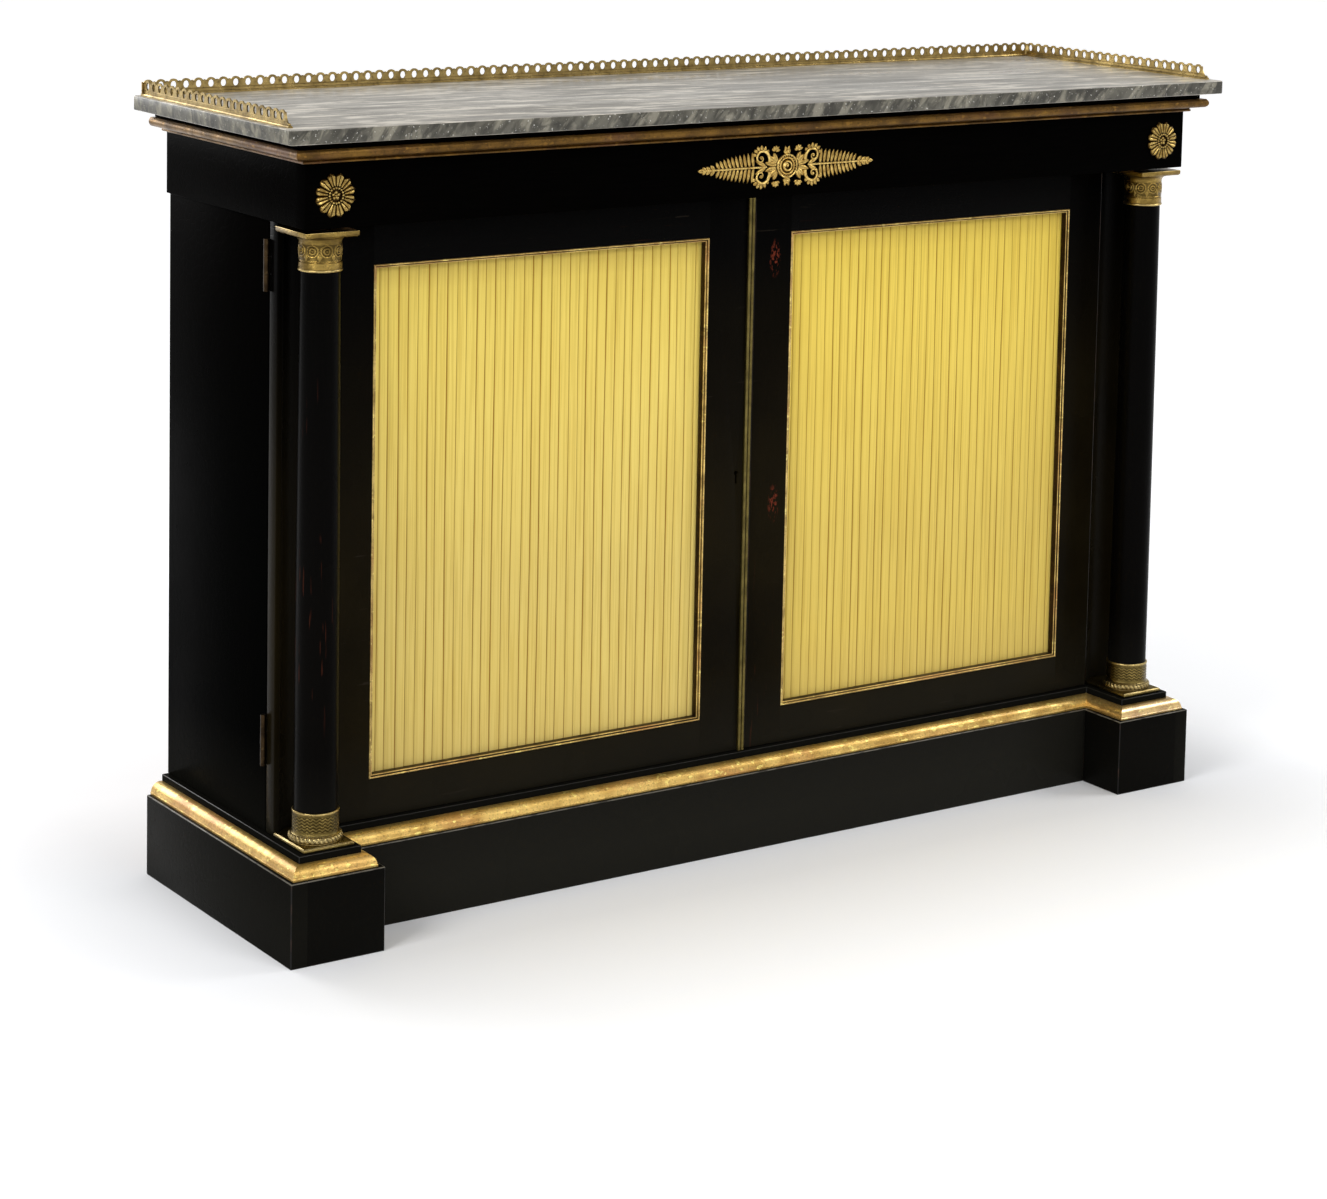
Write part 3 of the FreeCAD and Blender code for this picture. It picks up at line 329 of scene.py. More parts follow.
def copied_solid(node):
    """A copy of a solid of the frame, in edit mode, its triangles merged into whole faces."""
    in_hand(solids[node])
    bpy.ops.object.duplicate()
    piece = bpy.context.object
    del piece["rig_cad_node"]
    piece.data.materials.clear()
    bpy.ops.object.mode_set(mode="EDIT")
    bpy.ops.mesh.customdata_custom_splitnormals_clear()
    merged(0.00002)
    bpy.ops.mesh.dissolve_limited(angle_limit=math.radians(1))
    return piece


def touches(edge, box):
    """Whether both ends of an edge lie in or on a box."""
    return all(box[0][i] - 0.0001 < end.co[i] < box[1][i] + 0.0001 for end in edge.verts for i in range(3))


def eased(node, ease, slot, *finishes, beside=()):
    """A board with its arrises rounded off: the first finish on its faces, the last on its arrises. An arris
    that is glued flush against a board beside it stays sharp."""
    piece = copied_solid(node)
    joints = [other if isinstance(other, list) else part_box(other) for other in beside]
    for finish in finishes:
        piece.data.materials.append(finish)
    pick("EDGE", lambda edge: sharper(edge, 40) and not any(touches(edge, box) for box in joints))
    bpy.ops.mesh.bevel(offset=ease, segments=2, material=len(finishes) - 1)
    smoothed(50)
    body = solids[node]["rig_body"]
    piece.name = piece.data.name = node + "_wood"
    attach(piece, body)
    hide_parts(node)
    modelling()


def smoothed(degrees):
    """Back to object mode, smooth across edges flatter than an angle."""
    bpy.ops.object.mode_set(mode="OBJECT")
    bpy.ops.object.shade_smooth_by_angle(angle=math.radians(degrees))


SIDES = (("left", -1), ("right", 1))
plinth_ease, deck_ease = 0.0011, 0.0008
eased("plinth_front", plinth_ease, "ebonised_wood", ebony_x, arris)
eased("plinth_deck", deck_ease, "ebonised_wood", shade_x, arris)
for word, side in SIDES:
    block, board = "plinth_pedestal_" + word, "plinth_side_" + word
    eased(block, plinth_ease, "ebonised_wood", ebony_block, arris, beside=[board])
    eased(board, plinth_ease, "ebonised_wood", ebony_y, arris, beside=[block])


# Inner carcase: back, bottom, top, shelf with its bearers and plinth back, in plain softwood left unpolished
# and gone brown, nailed and housed together. The boards behind the silk are of the same wood.
def softwood(name):
    """Bare old pine: long grain with darker streaks and stains."""
    finish = Finish(name, Roughness=0.72, Specular_IOR_Level=0.25)
    ring = finish.noise(28, (0.07, 1, 1), 5, 0.4)
    fibre = finish.noise(500, (0.03, 1, 1), 3)
    stain = finish.noise(4, detail=5)
    wood = finish.mixed(ring, (0.22, 0.115, 0.05), (0.4, 0.25, 0.125))
    wood = finish.mixed(finish.between(fibre, 0.3, 0.7, 0.0, 0.35), wood, (0.14, 0.07, 0.03))
    finish.to("Base Color", finish.mixed(finish.between(stain, 0.5, 0.8, 0, 0.5), wood, (0.12, 0.065, 0.035)))
    finish.bumps((fibre, 0.00012), (ring, 0.0002))
    return finish.material


pine = softwood("bare_pine")
board_ease, bearer_ease = 0.0008, 0.0006
for node in ("plinth_back", "carcase_back", "carcase_bottom", "carcase_top", "shelf"):
    eased(node, board_ease, "plain_wood", pine, pine)
for node in ("shelf_bearer_left", "shelf_bearer_right", "left_silk_board", "right_silk_board"):
    eased(node, bearer_ease, "plain_wood", pine, pine)


# Gilt plinth moulding: a carved pine ovolo over the plinth, mitred at each corner, gessoed and water gilt
# over red ground. The gold is rubbed through in patches, and gleams most on the right block.
def gilt(name, gold, tarnish, size=0.0, gleam=1.5):
    """Old gold leaf with dents, brown dirt and rubbed patches of red ground, under a coat of glue size."""
    finish = Finish(
        name, Metallic=0.8, Roughness=0.36, Specular_IOR_Level=0.4,
        Coat_Weight=size, Coat_Roughness=0.24, Coat_IOR=gleam,
    )
    cloud = finish.noise(34, detail=8, distortion=0.4)
    speck = finish.noise(420, detail=3)
    rub = finish.between(finish.noise(22, (0.5, 0.5, 1), 8), 0.52, 0.68)
    fleck = finish.between(finish.noise(190, (0.6, 0.6, 1), 6), 0.6, 0.66)
    reddened, dirty, fresh = toned(gold, 0.6, 0.36, 0.3), toned(tarnish, 0.3), toned(gold, 1.6)
    leaf = finish.mixed(finish.between(cloud, 0.38, 0.62), gold, tarnish)
    leaf = finish.mixed(finish.times(rub, 0.6), leaf, reddened)
    leaf = finish.mixed(finish.between(speck, 0.52, 0.72, 0, 0.6), leaf, dirty)
    finish.to("Base Color", finish.mixed(finish.times(fleck, 0.7), leaf, [min(1, part) for part in fresh]))
    finish.to("Metallic", finish.between(rub, 0, 1, 0.82, 0.5))
    finish.to("Roughness", finish.between(cloud, 0.3, 0.7, 0.28, 0.48))
    finish.bumps((cloud, 0.0008), (speck, 0.00015))
    return finish.material


def bowed(start, end, rise, steps=10):
    """Points of an arc that rises to the right of the way from start to end, both ends among them."""
    (u0, v0), (u1, v1) = start, end
    chord = math.hypot(u1 - u0, v1 - v0)
    radius = (chord**2 / 4 + rise**2) / (2 * abs(rise))
    half = math.asin(min(1.0, chord / 2 / radius))
    points = []
    for i in range(steps + 1):
        angle = half * (2 * i / steps - 1)
        along = chord / 2 + radius * math.sin(angle)
        out = math.copysign(radius * math.cos(angle) - (radius - abs(rise)), rise)
        u = u0 + (u1 - u0) * along / chord + (v1 - v0) * out / chord
        v = v0 + (v1 - v0) * along / chord - (u1 - u0) * out / chord
        points.append((u, v))
    return points


def traced(points, closed=True):
    """A new piece in edit mode, drawn out point by point, as a face or as an open line."""
    modelling()
    bpy.ops.mesh.primitive_circle_add(vertices=3, radius=0.001, location=(0, 0, 0), enter_editmode=True)
    bpy.ops.mesh.select_mode(type="VERT")
    bpy.ops.mesh.select_all(action="SELECT")
    bpy.ops.mesh.merge(type="CENTER")
    bpy.ops.transform.translate(value=points[0])
    route = [*points, points[0]] if closed else points
    for here, there in zip(route, route[1:]):
        bpy.ops.mesh.extrude_vertices_move(TRANSFORM_OT_translate={"value": there - here})
    bpy.ops.mesh.select_all(action="SELECT")
    if closed:
        bpy.ops.mesh.remove_doubles(threshold=0.000005)
        bpy.ops.mesh.edge_face_add()
    return bpy.context.object


def drawn_out(x, y, z):
    """In edit mode, extrude what is selected by a distance."""
    bpy.ops.mesh.extrude_region_move(TRANSFORM_OT_translate={"value": (x, y, z)})


def outward():
    """Turn every face of the piece in hand outwards."""
    bpy.ops.mesh.select_all(action="SELECT")
    bpy.ops.mesh.normals_make_consistent(inside=False)


def run(section, start, end, out, up, mitres):
    """A length of moulding cut at its ends: 1 for an outer mitre, -1 for an inner one, 0 for a square end."""
    start, end, out, up = Vector(start), Vector(end), Vector(out), Vector(up)
    along = (end - start).normalized()
    spare = along * 0.03
    piece = traced([start - spare + out * depth + up * rise for depth, rise in section])
    drawn_out(*(end - start + spare * 2))
    for place, way, mitre in ((start, -along, mitres[0]), (end, along, mitres[1])):
        bpy.ops.mesh.select_all(action="SELECT")
        bpy.ops.mesh.bisect(plane_co=place, plane_no=way - out * mitre, use_fill=True, clear_outer=True)
    outward()
    smoothed(40)
    return piece


def joined(pieces):
    """Several pieces made one."""
    modelling()
    for piece in pieces:
        piece.select_set(True)
    bpy.context.view_layer.objects.active = pieces[0]
    bpy.ops.object.join()
    return pieces[0]


UP = (0, 0, 1)
gilt_plinth = gilt("gilt_plinth_moulding", (0.78, 0.52, 0.145), (0.48, 0.285, 0.06), 0.4)
gilt_right = gilt("gilt_right_pedestal", (0.78, 0.52, 0.16), (0.48, 0.285, 0.07), 1.0, 2.0)
gilt_blocks = {"left": gilt_plinth, "right": gilt_right}
deck_low, deck_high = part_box("plinth_deck")
step_low, step_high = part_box("pedestal_moulding_left")
toe = step_high.z - step_low.z
lip = 0.0022
moulding_depth = deck_low.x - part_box("plinth_moulding_left")[0].x + 0.0016
ovolo = [(0, 0), (moulding_depth, 0), (moulding_depth, lip)]
ovolo += bowed((moulding_depth - 0.0007, 0.003), (0.0006, toe), 0.0038, 14) + [(0, toe)]
deck_x, deck_y, deck_z = -deck_low.x, deck_low.y, deck_low.z
inner_x = -(step_high.x - moulding_depth)
middle_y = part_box("plinth_moulding_front")[1].y
for word, side in SIDES:
    outer = (deck_x * side, deck_y, deck_z)
    inner = (inner_x * side, deck_y, deck_z)
    middle = (inner_x * side, middle_y, deck_z)
    back = (deck_x * side, deck_high.y, deck_z)
    length = run(ovolo, back, outer, (side, 0, 0), UP, (0, 1))
    fitted(length, f"gilt_side_{word}", "carcase", "gilt_wood", [gilt_plinth], f"plinth_moulding_{word}")
    front = run(ovolo, outer, inner, (0, -1, 0), UP, (1, 1))
    inward = run(ovolo, inner, middle, (-side, 0, 0), UP, (1, -1))
    length = joined([front, inward])
    finishes = [gilt_blocks[word]]
    fitted(length, f"gilt_pedestal_{word}", "carcase", "gilt_wood", finishes, f"pedestal_moulding_{word}")
length = run(ovolo, (-inner_x, middle_y, deck_z), (inner_x, middle_y, deck_z), (0, -1, 0), UP, (-1, -1))
fitted(length, "gilt_middle", "carcase", "gilt_wood", [gilt_plinth], "plinth_moulding_front")

# Carcase sides and frieze: ebonised boards glued and blocked together, the frieze standing 4 mm past
# the sides and over the doors.
frieze_sides = ["frieze_side_left", "frieze_side_right"]
side_ease, frieze_ease = 0.0011, 0.0009
for node in ("carcase_side_left", "carcase_side_right"):
    eased(node, side_ease, "ebonised_wood", shade_z)
for node in frieze_sides:
    eased(node, frieze_ease, "ebonised_wood", shade_y, beside=["frieze_front"])
eased("frieze_front", frieze_ease, "ebonised_wood", shade_x, beside=frieze_sides)
eased("top_board", frieze_ease, "ebonised_wood", shade_x)

# Gilt top moulding: a bead, a hollow and a round nose under the black fillet, in three mitred lengths, duller
# and far darker than the plinth moulding, its gilt a dark brown copy as painted shade.
# The top moulding's gilt is darkened to brown as painted shade.
shaded_gilt_top = gilt("gilt_top_moulding_painted_shade", (0.155, 0.08, 0.014), (0.07, 0.035, 0.007))
nose_low, nose_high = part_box("top_moulding_front")
frieze_low, frieze_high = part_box("frieze_front")
depth, rise = frieze_low.y - nose_low.y, nose_high.z - nose_low.z
cornice = [(0, 0)] + bowed((0.005, 0.0002), (0.005, 0.0034), 0.0014, 8)
cornice += bowed((0.0056, 0.0042), (depth - 0.0098, rise - 0.0106), -0.0012, 6)
cornice += bowed((depth - 0.0088, rise - 0.0104), (depth - 0.0024, rise - 0.0012), 0.0046, 12)
cornice += [(depth - 0.0034, rise), (0, rise)]
frieze_x, frieze_y, nose_z = frieze_high.x, frieze_low.y, nose_low.z
for word, side in SIDES:
    corner = (frieze_x * side, frieze_y, nose_z)
    back = (frieze_x * side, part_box("top_moulding_left")[1].y, nose_z)
    length = run(cornice, back, corner, (side, 0, 0), UP, (0, 1))
    fitted(length, f"gilt_cornice_{word}", "carcase", "gilt_wood", [shaded_gilt_top], f"top_moulding_{word}")
length = run(cornice, (-frieze_x, frieze_y, nose_z), (frieze_x, frieze_y, nose_z), (0, -1, 0), UP, (1, 1))
fitted(length, "gilt_cornice_front", "carcase", "gilt_wood", [shaded_gilt_top], "top_moulding_front")


# Marble top: one slab of grey marble with pale and dark streaks, sawn, polished on top, its edges darkened
# as painted shade and its side edges darker still, its upright corners rounded, lying loose on the black
# fillet.
def marble(name, shade, turn, dark, vein):
    """Grey marble, its streaks along the front or leaning when it is turned, faint or strong by a share."""
    finish = Finish(name, Roughness=0.3, Specular_IOR_Level=0.35)
    cloud = finish.noise(7, (0.4, 1, 1), 8, 0.9, turn)
    streak = finish.noise(34, (0.16, 1, 1), 12, 0.9, turn)
    thread = finish.noise(80, (0.14, 1, 1), 8, 0.5, turn)
    mottle = finish.noise(75, (0.5, 1, 1), 10, 0.8, turn)
    pale, grey, deep = [toned(tone, *shade) for tone in ((0.78, 0.75, 0.69), (0.37, 0.36, 0.335), dark)]
    stone = finish.mixed(finish.between(cloud, 0.38, 0.6), toned(grey, 0.66), grey)
    for grain, low, high, share, tone in (
        (streak, 0.47, 0.6, 0.8, deep), (thread, 0.5, 0.6, 0.85, pale), (mottle, 0.48, 0.62, 0.7, deep)
    ):
        stone = finish.mixed(finish.between(grain, low, high, 0, share * vein), stone, tone)
    speck = finish.between(finish.noise(420, detail=3), 0.66, 0.72, 0, 0.6)
    finish.to("Base Color", finish.mixed(speck, stone, (0.8, 0.78, 0.73)))
    finish.to("Roughness", finish.between(streak, 0.3, 0.7, 0.26, 0.42))
    finish.bumps((mottle, 0.00012), (cloud, 0.0005))
    return finish.material


def settled():
    """Put the place, turn and size of the selected piece into its mesh."""
    bpy.ops.object.transform_apply(location=True, rotation=True, scale=True)


along_front = (0, 0, math.radians(-4))
leaning = (0, math.radians(-52), math.radians(25))
polished = marble("grey_marble_polished", (1.05, 1.01, 0.94), along_front, (0.17, 0.166, 0.155), 0.72)
# The edges take the same stone darkened as painted shade, and the side edges darker still.
shaded_edge_marble = marble("grey_marble_edge_painted_shade", (0.295, 0.285, 0.24), leaning, (0.07, 0.066, 0.056), 1.0)
shadier_side_marble = marble("grey_marble_side_edge_painted_shade", (0.25, 0.238, 0.185), leaning, (0.06, 0.056, 0.043), 1.0)
slab_low, slab_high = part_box("marble_top")
slab_corner, slab_arris = 0.005, 0.0013
modelling()
bpy.ops.mesh.primitive_cube_add(
    size=1, location=(slab_low + slab_high) / 2, scale=slab_high - slab_low, enter_editmode=False
)
slab = bpy.context.object
settled()
bpy.ops.object.mode_set(mode="EDIT")
pick("EDGE", lambda edge: abs(edge.verts[0].co.z - edge.verts[1].co.z) > 0.01)
bpy.ops.mesh.bevel(offset=slab_corner, segments=8)
pick("EDGE", lambda edge: sharper(edge, 69))
bpy.ops.mesh.bevel(offset=slab_arris, segments=3)
pick("FACE", lambda face: abs(face.normal.z) < 0.3)
sawn = [face.index for face in bmesh.from_edit_mesh(slab.data).faces if face.select]
smoothed(40)
fitted(slab, "marble_slab", "carcase", "marble", [polished, shaded_edge_marble, shadier_side_marble], "marble_top")
for number in sawn:
    face = slab.data.polygons[number]
    face.material_index = 2 if abs(face.normal.x) > 0.9 else 1


# Gallery: cast brass, pierced with a row of round-headed arches, filed and soldered on a moulded foot.
# It stands on three edges of the marble, and each side ends in front in a swept toe with a peg.
def old_brass(name, bright, dull, roughness):
    """Brass gone brown, with darker spots and a soft polish."""
    finish = Finish(name, Metallic=1.0, Roughness=roughness, Specular_IOR_Level=0.4)
    cloud = finish.noise(60, detail=6)
    spot = finish.between(finish.noise(240, detail=4), 0.56, 0.72)
    metal = finish.mixed(finish.between(cloud, 0.35, 0.65), bright, dull)
    finish.to("Base Color", finish.mixed(finish.times(spot, 0.6), metal, (0.1, 0.065, 0.028)))
    finish.to("Roughness", finish.between(cloud, 0.3, 0.7, roughness - 0.08, roughness + 0.12))
    finish.bumps((cloud, 0.0002), (spot, -0.00004))
    return finish.material


gallery_brass = old_brass("gallery_brass", (0.5, 0.365, 0.14), (0.23, 0.16, 0.055), 0.3)
# The insides of the piercings take a near-black brass: painted shade in the holes.
hole_shade_brass = old_brass("gallery_brass_painted_shade_in_holes", (0.1, 0.07, 0.028), (0.04, 0.027, 0.011), 0.45)
gallery_low, gallery_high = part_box("gallery_back")
crest = gallery_high.z - gallery_low.z
plate, foot_half, foot_height = 0.0016, 0.003, 0.003
eye_x, eye_z, eye_height = 0.0037, 0.0043, 0.01135
shoulder = crest - 0.0022


def cut_out(points, x, y, z):
    """A flat shape drawn point by point, given a thickness, still in edit mode."""
    piece = traced(points)
    drawn_out(x, y, z)
    outward()
    return piece


def arch(pitch):
    """One arch of the row, from zero to a pitch along X: a ring of faces round its oval piercing."""
    half, head = pitch / 2, crest - eye_height
    outer = [(half * share, foot_height) for share in (-1, -0.35, 0.35, 1)]
    outer += [(half, eye_height - 0.001), (half, shoulder)]
    for degrees in (28, 44, 60, 75, 90, 105, 120, 136, 152):
        angle = math.radians(degrees)
        outer.append((head * 0.99 * math.cos(angle), eye_height + head * math.sin(angle)))
    outer += [(-half, shoulder), (-half, eye_height - 0.001)]
    rim = [Vector((half + x, 0, z)) for x, z in outer]
    eye = []
    for x, z in outer:
        angle = math.atan2((z - eye_height) / 0.0044, x / 0.0042)
        eye.append(Vector((half + eye_x * math.cos(angle), 0, eye_height + eye_z * math.sin(angle))))
    piece = traced(rim)
    bpy.ops.mesh.inset(thickness=0.0005, use_even_offset=False)
    mesh = bmesh.from_edit_mesh(piece.data)
    inside = next(face for face in mesh.faces if face.select)
    for corner in inside.verts:
        near = min(range(len(rim)), key=lambda i: (rim[i] - corner.co).length)
        corner.co = eye[near]
    bmesh.update_edit_mesh(piece.data)
    bpy.ops.mesh.delete(type="ONLY_FACE")
    bpy.ops.mesh.select_all(action="SELECT")
    drawn_out(0, plate, 0)
    for end in (0, pitch):
        pick("FACE", lambda face: all(abs(corner.co.x - end) < 1e-6 for corner in face.verts))
        bpy.ops.mesh.delete(type="FACE")
    outward()
    bpy.ops.transform.translate(value=(0, -plate / 2, 0))
    bpy.ops.object.mode_set(mode="OBJECT")
    return piece


def arched(count, pitch, toe_length):
    """A row of arches on its foot, along X from zero, with any toe at the far end."""
    row = arch(pitch)
    modifier = row.modifiers.new("row", "ARRAY")
    modifier.count = count
    modifier.use_relative_offset = False
    modifier.use_constant_offset = True
    modifier.constant_offset_displace = (pitch, 0, 0)
    modifier.use_merge_vertices = True
    modifier.merge_threshold = 0.00001
    bpy.ops.object.modifier_apply(modifier=modifier.name)
    bpy.ops.object.mode_set(mode="EDIT")
    bpy.ops.mesh.select_all(action="SELECT")
    bpy.ops.mesh.fill_holes(sides=20)
    bpy.ops.mesh.select_all(action="DESELECT")
    smoothed(35)
    length, last = count * pitch, count * pitch + toe_length
    foot = [(-foot_half, 0), (foot_half, 0), (foot_half, 0.0011)]
    foot += bowed((0.0026, 0.0014), (0.0012, 0.0029), 0.0003, 4)
    foot += bowed((-0.0012, 0.0029), (-0.0026, 0.0014), 0.0003, 4) + [(-foot_half, 0.0011)]
    parts = [row, run(foot, (0, 0, 0), (last, 0, 0), (0, -1, 0), UP, (0, 0))]
    angles = [math.tau * i / 8 for i in range(8)]
    bead = [(0.00115 * math.cos(angle), 0.0062 + 0.0006 * math.sin(angle)) for angle in angles]
    parts.append(run(bead, (0, 0, 0), (length, 0, 0), (0, -1, 0), UP, (0, 0)))
    if toe_length:
        swept = [(length, foot_height)]
        swept += bowed((last - 0.0004, foot_height), (length, crest - 0.0034), -0.0026, 8)
        parts.append(cut_out([Vector((x, -plate / 2, z)) for x, z in swept], 0, plate, 0))
        smoothed(35)
        parts.append(ball((last - 0.0022, 0, 0.0036), 0.0017, smooth=False))
    return joined(parts)


def ball(place, radius, smooth=True):
    """A small round head or boss of metal."""
    modelling()
    bpy.ops.mesh.primitive_uv_sphere_add(segments=12, ring_count=8, radius=radius, location=place)
    settled()
    if smooth:
        bpy.ops.object.shade_smooth()
    return bpy.context.object


def standing(row, word, start, turn, axis, pitch):
    """Turn a row, put it in place from its start, and paint shade inside its piercings with a dark brass."""
    row.rotation_euler = (0, 0, turn)
    row.location = start
    settled()
    finishes = [gallery_brass, hole_shade_brass]
    fitted(row, "gallery_brass_" + word, "carcase", "brass", finishes, "gallery_" + word)
    for face in row.data.polygons:
        along = abs(face.center[axis] - start[axis]) % pitch - pitch / 2
        rise = face.center.z - gallery_low.z - eye_height
        face.material_index = int(math.hypot(along / eye_x, rise / eye_z) < 1.02)


back_arches, side_arches, toe_length = 83, 22, 0.01
pitch = (gallery_high.x - gallery_low.x) / back_arches
back_start = (gallery_low.x, (gallery_low.y + gallery_high.y) / 2, gallery_low.z)
standing(arched(back_arches, pitch, 0), "back", back_start, 0, 0, pitch)
for word, side in SIDES:
    side_low, side_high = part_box("gallery_" + word)
    pitch = (side_high.y - side_low.y - toe_length) / side_arches
    side_start = ((side_low.x + side_high.x) / 2, side_high.y, side_low.z)
    standing(arched(side_arches, pitch, toe_length), word, side_start, -math.pi / 2, 1, pitch)


# Door frames: stiles and rails of ebonised wood, tenoned together. The outer stile has a tall hollow
# behind its column. Fine cracks and a few knocks show on the stiles.
def knocked(name, along, places):
    """The black polish of the doors, browner, cracked across, chipped to the red wood near some places."""
    finish = ebonised(name, along, (0.0095, 0.0068, 0.0022), floor_sheen=1.6)
    polish = finish.shader.inputs["Base Color"].links[0].from_socket
    crack = finish.between(finish.noise(150, (0.1, 1, 1.4), 3), 0.69, 0.71)
    some = finish.between(finish.noise(6, detail=3), 0.5, 0.62, 0, 0.5)
    colour = finish.mixed(finish.times(crack, some), polish, (0.028, 0.022, 0.016))
    chips = finish.between(finish.noise(340, (1, 1, 0.5), 5, 0.8), 0.54, 0.59)
    for place in places:
        off = finish.vector("MULTIPLY", finish.vector("SUBTRACT", finish.place, place), (2.2, 1, 0.8))
        near = finish.between(finish.vector("LENGTH", off, out=1), 0.02, 0.008)
        colour = finish.mixed(finish.times(near, chips), colour, (0.13, 0.024, 0.012))
    finish.to("Base Color", colour)
    return finish.material


def around(*nodes):
    """The box that holds several solids."""
    boxes = [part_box(node) for node in nodes]
    return [Vector([most(box[k][i] for box in boxes) for i in range(3)]) for k, most in ((0, min), (1, max))]


chip_places = [(0.048, -0.089, 0.4193), (0.0425, -0.089, 0.7205)]
door_x = knocked("ebonised_door_rail", "X", [])
door_z = knocked("ebonised_door_stile", "Z", chip_places)
stile_ease, rail_ease = 0.0008, 0.0004
for word, rubbed_edge in (("left", []), ("right", [arris])):
    rails = [word + "_rail_top", word + "_rail_bottom"]
    stiles = [word + "_stile_outer", word + "_stile_inner"]
    for node in stiles:
        eased(node, stile_ease, "ebonised_wood", door_z, *rubbed_edge, beside=[around(*rails)])
    for node in rails:
        eased(node, rail_ease, "ebonised_wood", door_x, beside=stiles)

# Gilt slips: a small beaded fillet round each opening, mitred and pinned in, which holds the silk.
gilt_slip = gilt("gilt_slip", (0.74, 0.53, 0.17), (0.38, 0.25, 0.07), 0.3)
# The groove of the bead and the slip's back faces take a near-black gilt: painted shade.
shaded_groove_gilt = gilt("gilt_slip_groove_painted_shade", (0.05, 0.028, 0.008), (0.02, 0.01, 0.004))
slip_width, groove_level, groove_from, groove_to = 0.0046, 0.0028, 0.0023, 0.003
for word, side in SIDES:
    slip_low, slip_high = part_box(word + "_slip")
    thick = slip_high.y - slip_low.y
    bead = [(0, 0), (slip_width, 0), (slip_width, thick - 0.003)]
    bead += bowed((0.0045, thick - 0.0026), (0.0031, thick - 0.0024), 0.0006, 5) + [(0.0029, thick - 0.0036)]
    bead += [(0.0024, thick - 0.0036)] + bowed((0.0022, thick - 0.0012), (0.0003, thick - 0.001), 0.0009, 6)
    bead += [(0, thick - 0.0016)]
    left, foot, right, head = slip_low.x, slip_low.z, slip_high.x, slip_high.z
    round_opening = [(left, foot), (right, foot), (right, head), (left, head)]
    corners = [Vector((x, slip_high.y, z)) for x, z in round_opening]
    inwards = [(0, 0, 1), (-1, 0, 0), (0, 0, -1), (1, 0, 0)]
    lengths = [
        run(bead, corners[i], corners[(i + 1) % 4], inwards[i], (0, -1, 0), (-1, -1)) for i in range(4)
    ]
    slip = joined(lengths)
    fitted(slip, f"gilt_slip_{word}", f"{word}_door", "gilt_wood", [gilt_slip, shaded_groove_gilt], f"{word}_slip")
    for face in slip.data.polygons:
        x, y, z = face.center
        inset = min(abs(x - left), abs(x - right), abs(z - foot), abs(z - head))
        face.material_index = int(y > slip_low.y + groove_level or groove_from < inset < groove_to)


# Silk: one width of plain yellow silk to each door, pressed in thirty-six flat knife pleats and tacked
# to a board behind the slip. The pleats differ a little in width and lean.
silk_front, silk_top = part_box("left_silk")[0].y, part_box("left_silk")[1].z


def yellow_silk(name, colour, fold):
    """Plain silk: fine weave, upright slubs, soft sheen, old stain along its foot, painted shade in its folds
    and at its top.
    """
    finish = Finish(name, Roughness=0.5, Specular_IOR_Level=0.12, Sheen_Weight=0.08, Sheen_Roughness=0.4)
    weave = finish.noise(2600, (1, 1, 0.35), 2)
    slub = finish.noise(420, (1, 1, 0.02), 4)
    cloud = finish.noise(7, (1, 1, 0.6), 5)
    low = finish.along("Z")
    deep = finish.between(finish.along("Y"), silk_front + 0.0007, silk_front + 0.0016)
    thread = finish.noise(520, (1, 1, 0.012), 3)
    cloth = finish.mixed(finish.between(slub, 0.35, 0.7, 0, 0.3), colour, fold)
    cloth = finish.mixed(finish.between(thread, 0.52, 0.6, 0, 0.3), cloth, (0.56, 0.36, 0.04))
    cloth = finish.mixed(finish.between(cloud, 0.45, 0.8, 0, 0.3), cloth, fold)
    # Painted shadow under the slip: the silk darkens over its top 35 mm.
    shade = finish.between(low, silk_top - 0.035, silk_top, 0, 0.42)
    cloth = finish.mixed(shade, cloth, (0.42, 0.27, 0.05))
    # Painted shade deep in the folds: the cloth turns dark orange where it lies back from the front of the
    # pleats.
    cloth = finish.mixed(finish.times(deep, 0.94), cloth, (0.36, 0.165, 0.0))
    cloth = finish.mixed(finish.between(low, 0.7, 0.36), cloth, (0.84, 0.83, 1.06), "MULTIPLY")
    stain = finish.times(finish.between(low, 0.25, 0.165), 0.25)
    finish.to("Base Color", finish.mixed(stain, cloth, (0.5, 0.36, 0.13)))
    finish.bumps((weave, 0.00006), (slub, 0.00012))
    return finish.material


pleat_count, silk_rows, silk_thickness = 36, 18, 0.00022


